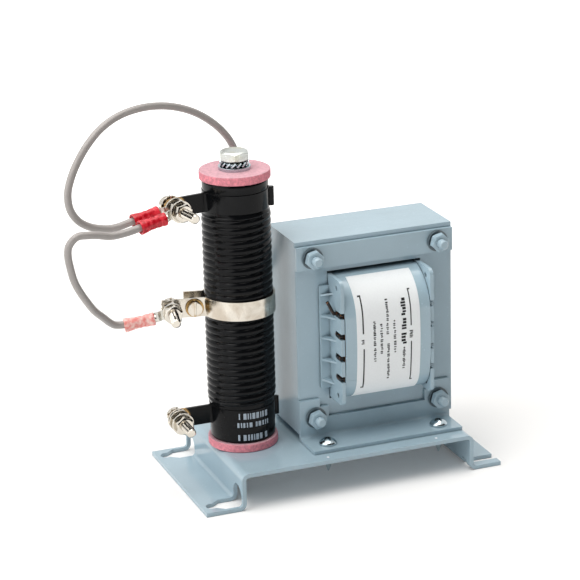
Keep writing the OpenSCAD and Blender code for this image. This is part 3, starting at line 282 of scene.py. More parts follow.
@cache
def varnished_copper():
    """Copper wire, drawn and dipped in varnish."""
    # Dark reddish brown metal under an amber coat, uneven where the varnish ran.
    material, tree, place = blank("copper_drawn_and_varnished")
    run = node(tree, "TexNoise", {"Scale": per_mm(1.2), "Detail": 3}, {"Vector": place}).outputs["Fac"]
    tone = node(tree, "Mix", {6: shade("copper", 0.55), 7: shade("copper", 1.5)},
                {0: run}, data_type="RGBA").outputs[2]
    close(tree, {"Metallic": 1, "Roughness": 0.4, "Coat Weight": 0.6, "Coat Roughness": 0.15},
          {"Base Color": tone})
    return material


@cache
def lacquered_ends():
    """Winding ends, bundled and soaked in varnish."""
    # Almost black, with amber where a wire is bare; on the right they went under the spray with the bobbin.
    material, tree, place = blank("winding_ends_soaked_in_varnish")
    speck = node(tree, "TexNoise", {"Scale": per_mm(0.8), "Detail": 2}, {"Vector": place}).outputs["Fac"]
    bare = node(tree, "MapRange", {"From Min": 0.6, "From Max": 0.68}, {"Value": speck}).outputs["Result"]
    dark = node(tree, "Mix", {6: shade("varnish", 0.35), 7: shade("copper", 1.1)},
                {0: bare}, data_type="RGBA").outputs[2]
    across = node(tree, "SeparateXYZ", links={"Vector": place}).outputs["X"]
    right = node(tree, "Math", {1: middle("bobbin")[0] * MM}, {0: across},
                 operation="GREATER_THAN").outputs[0]
    tone = node(tree, "Mix", {7: shade("paint", 0.8)}, {0: right, 6: dark}, data_type="RGBA").outputs[2]
    close(tree, {"IOR": 1.5, "Roughness": 0.3}, {"Base Color": tone})
    return material


@cache
def plated(name, key, grain_mm, rough, stain="", most=0.0):
    """Metal of the fasteners and terminals, plated, dipped or stamped."""
    # Bright, broken by tumbling marks, drawn coarse enough to show, and by slow drifts of tone; some of it
    # is stained in patches.
    material, tree, place = blank(name)
    drift = node(tree, "TexNoise", {"Scale": per_mm(4), "Detail": 3}, {"Vector": place}).outputs["Fac"]
    marks = node(tree, "TexNoise", {"Scale": per_mm(grain_mm), "Detail": 3},
                 {"Vector": place}).outputs["Fac"]
    tone = node(tree, "Mix", {6: shade(key, 0.82), 7: shade(key, 1.12)},
                {0: drift}, data_type="RGBA").outputs[2]
    if stain:
        patch = node(tree, "TexNoise", {"Scale": per_mm(6), "Detail": 4, "Distortion": 0.6},
                     {"Vector": place}).outputs["Fac"]
        share = node(tree, "MapRange", {"From Min": 0.48, "From Max": 0.66, "To Max": most},
                     {"Value": patch}).outputs["Result"]
        tone = node(tree, "Mix", {7: shade(stain)}, {0: share, 6: tone}, data_type="RGBA").outputs[2]
    gloss = node(tree, "MapRange",
                 {"From Min": 0.3, "From Max": 0.7, "To Min": rough * 0.7, "To Max": rough * 1.4},
                 {"Value": marks}).outputs["Result"]
    bump = node(tree, "Bump", {"Strength": 0.06, "Distance": 0.04 * MM},
                {"Height": marks}).outputs["Normal"]
    close(tree, {"Metallic": 1}, {"Base Color": tone, "Roughness": gloss, "Normal": bump})
    return material


def barrel_nickel():
    """Nickel plating of the terminal hardware."""
    return plated("nickel_barrel_plated", "nickel", grain_mm=0.5, rough=0.13)


def yellowed_zinc():
    """Zinc plating of the long bolt and its nut."""
    return plated("zinc_plated_and_passivated", "zinc", grain_mm=0.6, rough=0.34,
                  stain="yellow", most=0.5)


@cache
def black_enamel(name, flow_mm, depth_mm, screw=""):
    """Black silicone cement, brushed on and baked."""
    # Deep black with a soft gloss: the coat flowed before it set, so its highlights wander, and its grit is
    # drawn coarse enough to show. A terminal band is bare, yellowish metal round its screw.
    material, tree, place = blank(name)
    flow = node(tree, "TexNoise", {"Scale": per_mm(flow_mm), "Detail": 2}, {"Vector": place}).outputs["Fac"]
    grit = node(tree, "TexNoise", {"Scale": per_mm(0.8), "Detail": 3}, {"Vector": place}).outputs["Fac"]
    tone = node(tree, "Mix", {6: shade("enamel", 0.6), 7: shade("enamel", 1.6)},
                {0: flow}, data_type="RGBA").outputs[2]
    gloss = node(tree, "MapRange", {"From Min": 0.3, "From Max": 0.7, "To Min": 0.1, "To Max": 0.22},
                 {"Value": grit}).outputs["Result"]
    bump = node(tree, "Bump", {"Strength": 0.35, "Distance": depth_mm * MM},
                {"Height": flow}).outputs["Normal"]
    links = {"Base Color": tone, "Roughness": gloss, "Normal": bump}
    if screw:
        hole = terminal(screw).translation * MM
        away = node(tree, "VectorMath", {1: hole}, {0: place}, operation="DISTANCE").outputs["Value"]
        bare = node(tree, "MapRange",
                    {"From Min": 5.0 * MM, "From Max": 5.7 * MM, "To Min": 1, "To Max": 0},
                    {"Value": away}).outputs["Result"]
        links["Metallic"] = bare
        links["Base Color"] = node(tree, "Mix", {7: shade("brass")}, {0: bare, 6: tone},
                                   data_type="RGBA").outputs[2]
    close(tree, {"IOR": 1.5, "Specular IOR Level": 0.14}, links)
    return material


@cache
def pink_fibre():
    """Pink mineral-fibre board, punched."""
    # Matt and chalky, with pale and dark crumbs where the fibre was torn by the punch; faces that look up are
    # painted paler, as painted light from above.
    material, tree, place = blank("fibre_board_punched")
    crumb = node(tree, "TexNoise", {"Scale": per_mm(1.3), "Detail": 6, "Roughness": 0.7},
                 {"Vector": place}).outputs["Fac"]
    pale = node(tree, "MapRange", {"From Min": 0.35, "From Max": 0.65}, {"Value": crumb}).outputs["Result"]
    side = node(tree, "Mix", {6: shade("fibre", 0.72), 7: shade("fibre", 1.2)},
                {0: pale}, data_type="RGBA").outputs[2]
    top = node(tree, "Mix", {6: shade("fibre_lit_top", 0.82), 7: shade("fibre_lit_top", 1.15)},
               {0: pale}, data_type="RGBA").outputs[2]
    # Painted light: the faces that look up take the paler pink, the sides the deeper one.
    facing = node(tree, "NewGeometry").outputs["True Normal"]
    level = node(tree, "SeparateXYZ", links={"Vector": facing}).outputs["Z"]
    painted_top_light = node(tree, "MapRange", {"From Min": 0.3, "From Max": 0.9}, {"Value": level}).outputs["Result"]
    tone = node(tree, "Mix", links={0: painted_top_light, 6: side, 7: top}, data_type="RGBA").outputs[2]
    bump = node(tree, "Bump", {"Strength": 0.4, "Distance": 0.1 * MM}, {"Height": crumb}).outputs["Normal"]
    close(tree, {"IOR": 1.5, "Roughness": 0.85}, {"Base Color": tone, "Normal": bump})
    return material


@cache
def sleeve_vinyl(name, deep, pale):
    """Vinyl of a crimp sleeve, moulded."""
    # Clear-bodied colour that glows at thin rims, with a wet gloss scuffed by the crimping tool, and pale
    # streaks of painted highlight over the colour.
    material, tree, place = blank(name)
    scuff = node(tree, "TexNoise", {"Scale": per_mm(1.6), "Detail": 3}, {"Vector": place}).outputs["Fac"]
    # Painted highlight: the pale colour is streaked at random over the deep one.
    painted_highlight_share = node(tree, "MapRange", {"From Min": 0.36, "From Max": 0.66},
                  {"Value": scuff}).outputs["Result"]
    tone = node(tree, "Mix", {6: shade(deep), 7: shade(pale)},
                {0: painted_highlight_share}, data_type="RGBA").outputs[2]
    gloss = node(tree, "MapRange", {"From Min": 0.3, "From Max": 0.7, "To Min": 0.14, "To Max": 0.34},
                 {"Value": scuff}).outputs["Result"]
    bump = node(tree, "Bump", {"Strength": 0.7, "Distance": 0.3 * MM}, {"Height": scuff}).outputs["Normal"]
    glow = (1.2 * MM, 0.4 * MM, 0.4 * MM)
    close(tree, {"IOR": 1.53, "Specular IOR Level": 0.3,
                 "Subsurface Weight": 0.25, "Subsurface Radius": glow},
          {"Base Color": tone, "Roughness": gloss, "Normal": bump})
    return material


@cache
def lead_vinyl():
    """Grey PVC, extruded over stranded wire."""
    # An even satin grey; the strands below show as the faintest waviness.
    material, tree, place = blank("pvc_extruded")
    wave = node(tree, "TexNoise", {"Scale": per_mm(2.5), "Detail": 3}, {"Vector": place}).outputs["Fac"]
    tone = node(tree, "Mix", {6: shade("lead", 0.92), 7: shade("lead", 1.08)},
                {0: wave}, data_type="RGBA").outputs[2]
    bump = node(tree, "Bump", {"Strength": 0.12, "Distance": 0.1 * MM}, {"Height": wave}).outputs["Normal"]
    close(tree, {"IOR": 1.53, "Roughness": 0.33}, {"Base Color": tone, "Normal": bump})
    return material


@cache
def steatite():
    """Steatite tube, pressed and fired."""
    # Cream-white and dull, with a pressed grain that is drawn coarse enough to show.
    material, tree, place = blank("steatite_pressed_and_fired")
    grain = node(tree, "TexNoise", {"Scale": per_mm(0.8), "Detail": 4}, {"Vector": place}).outputs["Fac"]
    tone = node(tree, "Mix", {6: shade("ceramic", 0.92), 7: shade("ceramic", 1.06)},
                {0: grain}, data_type="RGBA").outputs[2]
    close(tree, {"IOR": 1.6, "Roughness": 0.6}, {"Base Color": tone})
    return material


def loft(mesh, rings, around=True, ends=True, ring_shut=False):
    """Joins rings of points, all of one count, into a skin."""
    rows = [[mesh.verts.new(point) for point in ring] for ring in rings]
    count = len(rows[0])
    pairs = list(zip(rows, rows[1:])) + ([(rows[-1], rows[0])] if ring_shut else [])
    for low, high in pairs:
        for k in range(count if around else count - 1):
            after = (k + 1) % count
            mesh.faces.new((low[k], low[after], high[after], high[k]))
    if ends and not ring_shut:
        mesh.faces.new(rows[0][::-1])
        mesh.faces.new(rows[-1])


def lathe(profile, count):
    """Rings of points about Z from pairs of radius and height."""
    return [[(r * cos(2 * pi * k / count), r * sin(2 * pi * k / count), z) for k in range(count)]
            for r, z in profile]


def thread(mesh, crest, run, pitch):
    """Threaded shank along Z, from its root at zero to a bevelled tip."""
    depth = sizes()["thread_depth"]
    around = 36
    rows_per_turn = 8
    bevel = 0.6
    flat_share = 0.12
    flank_share = 0.7
    rows = ceil(run / pitch * rows_per_turn)
    rings = []
    for i in range(rows + 1):
        along = run * i / rows
        ring = []
        for k in range(around):
            share = along / pitch - k / around
            flank = abs(2 * (share - floor(share)) - 1)
            r = crest - depth * min(1, max(0, (flank - flat_share) / flank_share))
            r = min(r, crest - (along - run + bevel))
            ring.append((r * cos(2 * pi * k / around), r * sin(2 * pi * k / around), along))
        rings.append(ring)
    loft(mesh, rings)


def add(mesh, part):
    """Puts one mesh into another."""
    spare = bpy.data.meshes.new("spare")
    part.to_mesh(spare)
    part.free()
    mesh.from_mesh(spare)
    bpy.data.meshes.remove(spare)


def piece(name, mesh, material, stands_for=(), sharp=40):
    """Makes a piece from a mesh in millimetres, and fixes it to the part."""
    bmesh.ops.recalc_face_normals(mesh, faces=mesh.faces)
    mesh.transform(Matrix.Scale(MM, 4))
    for face in mesh.faces:
        face.smooth = True
    data = bpy.data.meshes.new(name)
    mesh.to_mesh(data)
    mesh.free()
    data.set_sharp_from_angle(angle=radians(sharp))
    data.materials.append(material)
    made = bpy.data.objects.new(name, data)
    bpy.context.scene.collection.objects.link(made)
    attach(made, "root")
    if stands_for:
        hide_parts(*stands_for)
    return made


def break_edges(solid, edge_mm):
    """Breaks the sharp edges of a solid."""
    weld = solid.modifiers.new("joined_faces", "WELD")
    weld.merge_threshold = 0.001 * MM
    flat = solid.modifiers.new("whole_faces", "DECIMATE")
    flat.decimate_type = "DISSOLVE"
    flat.angle_limit = radians(0.5)
    broken = solid.modifiers.new("broken_edges", "BEVEL")
    broken.width = edge_mm * MM
    broken.segments = 2
    broken.limit_method = "ANGLE"
    broken.angle_limit = radians(32)
    even = solid.modifiers.new("even_shading", "WEIGHTED_NORMAL")
    even.keep_sharp = True


def dress(names, material, edge_mm):
    """Gives solids their finish, and breaks their sharp edges."""
    for name in names:
        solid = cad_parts[name]
        solid.material_slots[0].material = material
        if edge_mm:
            break_edges(solid, edge_mm)


def terminal(name):
    """Frame of a terminal screw: X away from the resistor, Y down, Z along the screw to its tip."""
    band, turn = TERMINALS[name]
    return (Matrix.Translation((AXIS_X, AXIS_Y, middle(band)[2])) @ Matrix.Rotation(radians(turn), 4, "Z")
            @ Matrix.Translation((-EAR_HOLE, 0, 0)) @ Matrix.Rotation(radians(90), 4, "X")
            @ Matrix.Rotation(radians(180), 4, "Z"))


def front_of(name, x, z):
    """How far forward the face of a solid is, in millimetres."""
    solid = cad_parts[name]
    inward = solid.matrix_world.inverted()
    eye = inward @ Vector((x * MM, cad_box[0][1], z * MM))
    hit, place, _, _ = solid.ray_cast(eye, inward.to_3x3() @ Vector((0, 1, 0)))
    if not hit:
        raise RuntimeError("nothing of " + name + " is in front")
    return (solid.matrix_world @ place).y / MM


def sleeve_place(name):
    """Frame of a crimp sleeve: X along it from the ring's end to its mouth."""
    sleeve = SLEEVES[name]
    return (terminal(sleeve.terminal) @ Matrix.Translation((0, 0, sleeve.along))
            @ Matrix.Rotation(radians(sleeve.droop), 4, "Z")
            @ Matrix.Translation((sleeve.start, 0, sleeve.offset)))


class TRANSFORMER_OT_stage(bpy.types.Operator):
    """Makes the camera, the white floor and the studio light"""
    bl_idname = "transformer.stage"
    bl_label = "Stage"

    # Turn, rise and roll of the camera in degrees, and its place in metres
    TURN = -20.718
    RISE = 18.69
    ROLL = -1.475
    EYE = (-0.34311, -0.87043, 0.39378)
    # Lamps: name, width, watts, tint, place, and the point they face
    LAMPS = [
        ("overhead_softbox", 1.6, 26, "#FFFCF8", (-0.15, 0.05, 1.5), (0, 0, 0)),
        ("left_softbox", 1.4, 10, "#FFFFFF", (-1.1, -0.35, 0.7), (0, 0, 0.06)),
    ]
    # Corners of the dark wall behind the camera, and its height
    WALL = [(-3, -0.4), (-1.6, -1.5), (1.6, -1.5), (3, -0.4)]
    WALL_H = 2.4

    def execute(self, context):
        scene = context.scene
        scene.view_settings.view_transform = "Standard"
        self.camera(scene)
        self.floor(scene)
        self.light(scene)
        self.dark_wall(scene)
        return {"FINISHED"}

    def camera(self, scene):
        """The photograph's viewpoint: a long lens, a little above the part."""
        turn = radians(self.TURN)
        rise = radians(self.RISE)
        roll = radians(self.ROLL)
        right = Vector((cos(turn), sin(turn), 0))
        back = Vector((sin(turn) * cos(rise), -cos(turn) * cos(rise), sin(rise)))
        up = back.cross(right)
        lens = bpy.data.cameras.new("camera")
        lens.sensor_width = 36
        lens.lens = 146.7
        lens.clip_start = 0.05
        eye = bpy.data.objects.new("camera", lens)
        columns = (right * cos(roll) + up * sin(roll), up * cos(roll) - right * sin(roll), back)
        eye.matrix_world = Matrix.Translation(self.EYE) @ Matrix(columns).transposed().to_4x4()
        scene.collection.objects.link(eye)
        scene.camera = eye

    def seen(self, tree):
        """One where a ray comes from the camera, a mirror-like surface or glass, and nothing elsewhere."""
        path = node(tree, "LightPath").outputs
        gloss = node(tree, "Math", links={0: path["Is Camera Ray"], 1: path["Is Glossy Ray"]},
                     operation="MAXIMUM").outputs[0]
        return node(tree, "Math", links={0: gloss, 1: path["Is Transmission Ray"]},
                    operation="MAXIMUM").outputs[0]

    def backdrop(self, scene, name, rows, finish):
        """A sheet through rows of points that isn't part of the object, with an empty material."""
        mesh = bmesh.new()
        loft(mesh, rows, around=False, ends=False)
        data = bpy.data.meshes.new(name)
        mesh.to_mesh(data)
        mesh.free()
        sheet = bpy.data.objects.new(name, data)
        scene.collection.objects.link(sheet)
        material, tree, place = blank(finish)
        data.materials.append(material)
        return sheet, tree, place

    def floor(self, scene):
        """A white sheet that keeps the part's shadow and is brighter away from it."""
        half = 4
        rows = [[(x, y, 0) for x in (-half, half)] for y in (-half, half)]
        _, tree, place = self.backdrop(scene, "floor", rows, "studio_paper_rolled_out")
        paper = node(tree, "BsdfDiffuse", {"Color": shade("floor")})
        away = node(tree, "VectorMath", links={0: place}, operation="LENGTH").outputs["Value"]
        far = node(tree, "MapRange", {"From Min": 0.22, "From Max": 0.7, "To Min": 0.08, "To Max": 0.8},
                   {"Value": away}).outputs["Result"]
        lift = node(tree, "Math", links={0: self.seen(tree), 1: far}, operation="MULTIPLY")
        glow = node(tree, "Emission", {"Color": (1, 1, 1, 1)}, {"Strength": lift.outputs[0]})
        both = node(tree, "AddShader", links={0: paper.outputs[0], 1: glow.outputs[0]})
        node(tree, "OutputMaterial", links={"Surface": both.outputs[0]})

    def light(self, scene):
        """Soft light from above and from the left, and an even grey room."""
        world = bpy.data.worlds.new("studio")
        scene.world = world
        world.use_nodes = True
        tree = world.node_tree
        tree.nodes.clear()
        level = node(tree, "MapRange", {"To Min": 0.28, "To Max": 1}, {"Value": self.seen(tree)})
        sky = node(tree, "Background", {"Color": (1, 1, 1, 1)}, {"Strength": level.outputs["Result"]})
        node(tree, "OutputWorld", links={"Surface": sky.outputs[0]})
        for name, size, watts, tint, place, aim in self.LAMPS:
            lamp = bpy.data.lights.new(name, "AREA")
            lamp.shape = "SQUARE"
            lamp.size = size
            lamp.energy = watts
            lamp.color = linear(tint)
            box = bpy.data.objects.new(name, lamp)
            box.location = place
            box.rotation_euler = (Vector(place) - Vector(aim)).to_track_quat("Z", "Y").to_euler()
            scene.collection.objects.link(box)

    def dark_wall(self, scene):
        """The unlit end of the studio behind the camera, which the bright metal mirrors."""
        rows = [[(x, y, z) for x, y in self.WALL] for z in (0, self.WALL_H)]
        wall, tree, _ = self.backdrop(scene, "dark_wall", rows, "felt_hung_up")
        wall.visible_camera = False
        felt = node(tree, "BsdfDiffuse", {"Color": shade("felt")})
        node(tree, "OutputMaterial", links={"Surface": felt.outputs[0]})


class TRANSFORMER_OT_leads(bpy.types.Operator):
    """Makes the two grey leads and the joint where the long one is soldered"""
    bl_idname = "transformer.leads"
    bl_label = "Leads"

    # Radius and height of the solder joint: the strands, the drop of solder, and the strands' end
    SOLDER = [(0.7, -0.3), (0.85, 0.1), (1.25, 0.5), (1.35, 0.75), (0.95, 1.1), (0.66, 1.5), (0.62, 2.1),
              (0.4, 2.3)]
    TAG_EYE = (-4.1, 25.2, 65.9)

    def execute(self, context):
        joint = self.solder_joint()
        self.lead("long_lead_wire", self.inside("long_lead_sleeve") + LONG_ROUTE, ("long_lead",),
                  ["long_lead_ring", "long_lead_sleeve_vinyl", joint.name])
        route = self.inside("short_lead_sleeve") + SHORT_ROUTE + self.inside("tap_lead_sleeve")[:1]
        self.lead("short_lead_wire", route, ("short_lead",),
                  ["short_lead_ring", "short_lead_sleeve_vinyl", "tap_lead_ring", "tap_lead_sleeve_vinyl"])
        return {"FINISHED"}

    def inside(self, sleeve):
        """The two ends of the length of lead inside a sleeve, the mouth last."""
        mouth = SLEEVES[sleeve].long
        return [sleeve_place(sleeve) @ Vector((mouth - depth, 0, 0)) for depth in (LEAD_IN, 0)]

    def lead(self, name, route, stands_for, with_pieces):
        """One lead as a smooth curve through its route."""
        radius = bpy.context.scene.transformer_sizes.lead_d / 2
        points = [Vector(point) * MM for point in route]
        curve = bpy.data.curves.new(name, "CURVE")
        curve.dimensions = "3D"
        curve.resolution_u = 8
        curve.bevel_depth = radius
        curve.bevel_resolution = 5
        curve.use_fill_caps = True
        spline = curve.splines.new("BEZIER")
        spline.bezier_points.add(len(points) - 1)
        for i, (knot, point) in enumerate(zip(spline.bezier_points, points)):
            before, after = points[max(i - 1, 0)], points[min(i + 1, len(points) - 1)]
            way = (after - before).normalized()
            knot.handle_left_type = knot.handle_right_type = "FREE"
            knot.co = point
            knot.handle_left = point - way * (point - before).length / 3
            knot.handle_right = point + way * (after - point).length / 3
        for a, b in zip(spline.bezier_points, spline.bezier_points[1:]):
            steps = interpolate_bezier(a.co, a.handle_right, b.handle_left, b.co, curve.resolution_u + 1)
        curve.materials.append(lead_vinyl())
        wire = bpy.data.objects.new(name, curve)
        bpy.context.scene.collection.objects.link(wire)
        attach(wire, "root")
        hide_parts(*stands_for)

    def solder_joint(self):
        """Bare strands through the eye of the solder tag, under a drop of solder."""
        mesh = bmesh.new()
        loft(mesh, lathe(self.SOLDER, count=20))
        mesh.transform(Matrix.Translation(self.TAG_EYE) @ Matrix.Rotation(radians(90), 4, "Y"))
        solder = plated("solder_set", "tinned", grain_mm=0.6, rough=0.3)
        return piece("lead_solder_joint", mesh, solder, sharp=60)


class TRANSFORMER_OT_sleeves(bpy.types.Operator):
    """Makes the three crimped sleeves of the ring terminals"""
    bl_idname = "transformer.sleeves"
    bl_label = "Crimp sleeves"

    # Distance along a sleeve, half height and half depth: the end at the ring, the two dents of the
    # crimping tool, the flared mouth, and the bore in it
    PROFILE = [(0.6, 2.2, 1.95), (0.75, 2.6, 2.3), (1.0, 2.75, 2.45), (1.9, 2.7, 2.4), (2.8, 2.5, 2.05),
               (3.4, 2.6, 1.86), (4.2, 2.6, 1.86), (4.9, 2.38, 1.98), (5.6, 2.35, 2.0), (6.2, 2.5, 1.86),
               (7.0, 2.5, 1.86), (7.7, 2.38, 2.05), (8.6, 2.5, 2.35), (9.8, 2.66, 2.62), (11.2, 2.84, 2.8),
               (12.1, 2.92, 2.88), (12.36, 2.84, 2.8), (12.4, 2.6, 2.56), (12.3, 2.35, 2.3),
               (11.7, 2.05, 2.03), (11.0, 1.7, 1.7), (9.4, 1.66, 1.66)]
    AROUND = 28

    def execute(self, context):
        # Each sleeve's deep colour, and the pale colour of its painted highlights
        red = ("vinyl_moulded_red", "sleeve", "sleeve_highlight")
        faded = ("vinyl_moulded_faded", "faded", "faded_highlight")
        angles = [2 * pi * k / self.AROUND for k in range(self.AROUND)]
        for name, sleeve in SLEEVES.items():
            stretch = sleeve.long / max(x for x, _, _ in self.PROFILE)
            rings = [[(x * stretch, a * cos(angle), b * sin(angle)) for angle in angles]
                     for x, a, b in self.PROFILE]
            mesh = bmesh.new()
            loft(mesh, rings)
            mesh.transform(sleeve_place(name))
            vinyl = sleeve_vinyl(*(faded if sleeve.terminal == "tap" else red))
            piece(name + "_vinyl", mesh, vinyl, [name], sharp=50)
        return {"FINISHED"}


class TRANSFORMER_OT_resistor(bpy.types.Operator):
    """Makes the resistor's enamelled winding as one true helix"""
    bl_idname = "transformer.resistor"
    bl_label = "Resistor winding"

    AROUND = 112
    ROWS_PER_TURN = 12
    # Radius under a terminal band, and bare lengths beside the bands
    GROOVE = 12.95
    CLEAR = 1.4
    # Rounded end of the enamel, as distance from the tube's end and radius, and where it ends
    END = [(0, 11.55), (0, 12.7), (0.12, 13.15), (0.45, 13.48)]
    END_RUN = 1.1

    def execute(self, context):
        size = sizes()
        pitch = size["turn_pitch"]
        wire_r = size["turn_back"]
        smooth = size["enamel_r"]
        tube_low, tube_high = (corner.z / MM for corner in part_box("ceramic_tube"))
        bands = [[corner.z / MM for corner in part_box(end + "_terminal_band")] for end in ("lower", "upper")]
        start = bands[0][1] + self.CLEAR
        stop = bands[1][0] - self.CLEAR
        count = floor((stop - start) / pitch)
        fade_rate = 4

        def turn_r(height, share):
            """Radius of the wound length at a height and a share of a whole turn."""
            along = (height - start) / pitch - share
            if not -0.5 < along < count - 0.5:
                return smooth
            across = (along - floor(along) - 0.5) * pitch
            crest = size["turn_crest"] - wire_r + sqrt(wire_r ** 2 - across ** 2)
            fade = min(1, (along + 0.5) * fade_rate, (count - 0.5 - along) * fade_rate)
            return smooth + (max(size["turn_valley"], crest) - smooth) * fade

        ending = [*self.END, (self.END_RUN, smooth)]
        rows = ceil((stop - start) / pitch * self.ROWS_PER_TURN)
        profile = [(tube_low + run, r) for run, r in ending]
        profile += self.groove(*bands[0], smooth)
        profile += [(start + (stop - start) * i / rows, None) for i in range(rows + 1)]
        profile += self.groove(*bands[1], smooth)
        profile += [(tube_high - run, r) for run, r in reversed(ending)]
        rings = []
        for height, radius in profile:
            ring = []
            for k in range(self.AROUND):
                angle = 2 * pi * k / self.AROUND
                r = turn_r(height, k / self.AROUND) if radius is None else radius
                ring.append((AXIS_X + r * cos(angle), AXIS_Y + r * sin(angle), height))
            rings.append(ring)
        mesh = bmesh.new()
        loft(mesh, rings, ring_shut=True)
        cement = black_enamel("cement_baked_on_winding", flow_mm=7, depth_mm=0.25)
        piece("resistor_turns", mesh, cement, ["resistor_winding"], sharp=50)
        return {"FINISHED"}

    def groove(self, bottom, top, smooth):
        """Profile of the enamel round a terminal band, which lies in a shallow groove."""
        slip = 0.05
        lip = 0.5
        drop = 0.1
        below = [(bottom - slip - lip, smooth), (bottom - slip, smooth - drop), (bottom - slip, self.GROOVE)]
        return below + [(top + slip, self.GROOVE), (top + slip, smooth - drop), (top + slip + lip, smooth)]


class TRANSFORMER_OT_screws(bpy.types.Operator):
    """Makes the three terminal screws with slotted heads and cut threads"""
    bl_idname = "transformer.screws"
    bl_label = "Terminal screws"

    # Terminals, where the head's seat is along the screw, and the length below it
    SCREWS = [("upper", -3.4, 23), ("lower", -1.7, 20), ("tap", 3.3, 20)]
    SHANK_R = 2.0

    def execute(self, context):
        mesh = bmesh.new()
        for name, seat, run in self.SCREWS:
            screw = bmesh.new()
            thread(screw, self.SHANK_R, run, sizes()["thread_pitch"])
            self.head(screw, radius=3.7, height=2.6, slot_w=1.04, slot_h=1.04, edge=0.3)
            screw.transform(terminal(name) @ Matrix.Translation((0, 0, seat)))
            add(mesh, screw)
        piece("terminal_screws_cut", mesh, barrel_nickel(), ["terminal_screws"], sharp=32)
        return {"FINISHED"}

    def head(self, mesh, radius, height, slot_w, slot_h, edge):
        """Cheese head with a slot, below the seat."""
        turn = asin(slot_w / 2 / radius)
        steps = 20
        arc = [turn + (pi - 2 * turn) * k / steps for k in range(steps + 1)]
        arcs = [arc, [a + pi for a in arc]]

        def ring(r, z):
            """Both arcs of the rim, cut by the slot's walls, as new corners."""
            made = []
            for part in arcs:
                for i, a in enumerate(part):
                    x, y = r * cos(a), r * sin(a)
                    if i in (0, len(part) - 1):
                        y = slot_w / 2 * (1 if part is arc else -1)
                        x = sqrt(r * r - y * y) * (1 if cos(a) > 0 else -1)
                    made.append(mesh.verts.new((x, y, z)))
            return made

        half = steps + 1
        seat = ring(radius, 0)
        shelf = ring(radius, slot_h - height)
        rim = ring(radius, edge - height)
        face = ring(radius - edge, -height)
        for k in range(2 * half):
            after = (k + 1) % (2 * half)
            mesh.faces.new((seat[k], seat[after], shelf[after], shelf[k]))
        for first in (0, half):
            for low, high in ((shelf, rim), (rim, face)):
                for k in range(first, first + half - 1):
                    mesh.faces.new((low[k], low[k + 1], high[k + 1], high[k]))
                mesh.faces.new((low[first + half - 1], low[first], high[first], high[first + half - 1]))
            mesh.faces.new(face[first:first + half])
        mesh.faces.new((shelf[0], shelf[half - 1], shelf[half], shelf[2 * half - 1]))
        mesh.faces.new(seat[::-1])


class TRANSFORMER_OT_long_bolt(bpy.types.Operator):
    """Makes the resistor's long bolt, with a hexagon that is bevelled on both faces"""
    bl_idname = "transformer.long_bolt"
    bl_label = "Long bolt"

    # Hexagon: across its flats, height, turn in degrees, and share of the flats that its round face takes
    FLATS = 11.2
    HEAD_H = 4
    TURN = 14
    FACE_SHARE = 0.9
    # Shank: radius, threaded length and pitch
    SHANK_R = 3.0
    THREADED = 18
    PITCH = 1
    AROUND = 96

    def execute(self, context):
        low, high = (corner.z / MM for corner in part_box("resistor_bolt"))
        seat = high - self.HEAD_H
        mesh = bmesh.new()
        thread(mesh, self.SHANK_R, self.THREADED, self.PITCH)
        mesh.transform(Matrix.Translation((0, 0, low + self.THREADED)) @ Matrix.Rotation(pi, 4, "X"))
        loft(mesh, lathe([(self.SHANK_R, low + self.THREADED), (self.SHANK_R, seat)], count=36))
        self.hexagon(mesh, seat, high)
        mesh.transform(Matrix.Translation((AXIS_X, AXIS_Y, 0)))
        made = piece("resistor_bolt_bevelled", mesh, yellowed_zinc(),
                     ["resistor_bolt"], sharp=28)
        break_edges(made, edge_mm=0.12)
        return {"FINISHED"}

    def hexagon(self, mesh, seat, top):
        """Head whose corners are turned down at 30 degrees to a round face at each end."""
        turn = radians(self.TURN)
        angles = [2 * pi * k / self.AROUND for k in range(self.AROUND)]
        rim = [self.FLATS / 2 / cos((a % (pi / 3)) - pi / 6) for a in angles]
        face = self.FLATS / 2 * self.FACE_SHARE
        drop = [(r - face) * tan(pi / 6) for r in rim]
        flat = [face] * self.AROUND
        levels = [(flat, [seat] * self.AROUND), (rim, [seat + d for d in drop]),
                  (rim, [top - d for d in drop]), (flat, [top] * self.AROUND)]
        loft(mesh, [[(r * cos(a + turn), r * sin(a + turn), z) for a, r, z in zip(angles, radii, heights)]
                    for radii, heights in levels])


class TRANSFORMER_OT_plates(bpy.types.Operator):
    """Makes the edges of the core's laminations, as the stack shows them"""
    bl_idname = "transformer.plates"
    bl_label = "Lamination edges"

    def execute(self, context):
        size = sizes()
        draw = random.Random(84)
        (x0, y0, z0), (x1, y1, z1) = ([value / MM for value in corner] for corner in self.core_box())
        count = round((y1 - y0) / size["plate_t"])
        step = (y1 - y0) / count
        inside = -0.3
        shy = 0.02
        bevel = 0.12
        least_stray = 0.25

        def ring(y, out):
            """Outline of the core, grown by a small amount."""
            left, right, low, high = x0 - out, x1 + out, z0 - out, z1 + out
            return [(left, y, low), (right, y, low), (right, y, high), (left, y, high)]

        rings = [ring(y0 + shy, inside)]
        for i in range(count):
            proud = draw.uniform(least_stray, 1) * size["plate_stray"]
            low = y0 + i * step
            rings += [ring(low + shy, 0), ring(low + bevel, proud), ring(low + step - bevel, proud)]
        rings += [ring(y1 - shy, 0), ring(y1 - shy, inside)]
        mesh = bmesh.new()
        loft(mesh, rings, ring_shut=True)
        piece("lamination_edges", mesh, sprayed_enamel("plates"), sharp=30)
        return {"FINISHED"}

    def core_box(self):
        """Corners of the whole core."""
        boxes = [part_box(name) for name in ("core_e_stack", "core_i_stack")]
        return [[pick(box[end][i] for box in boxes) for i in range(3)] for end, pick in ((0, min), (1, max))]


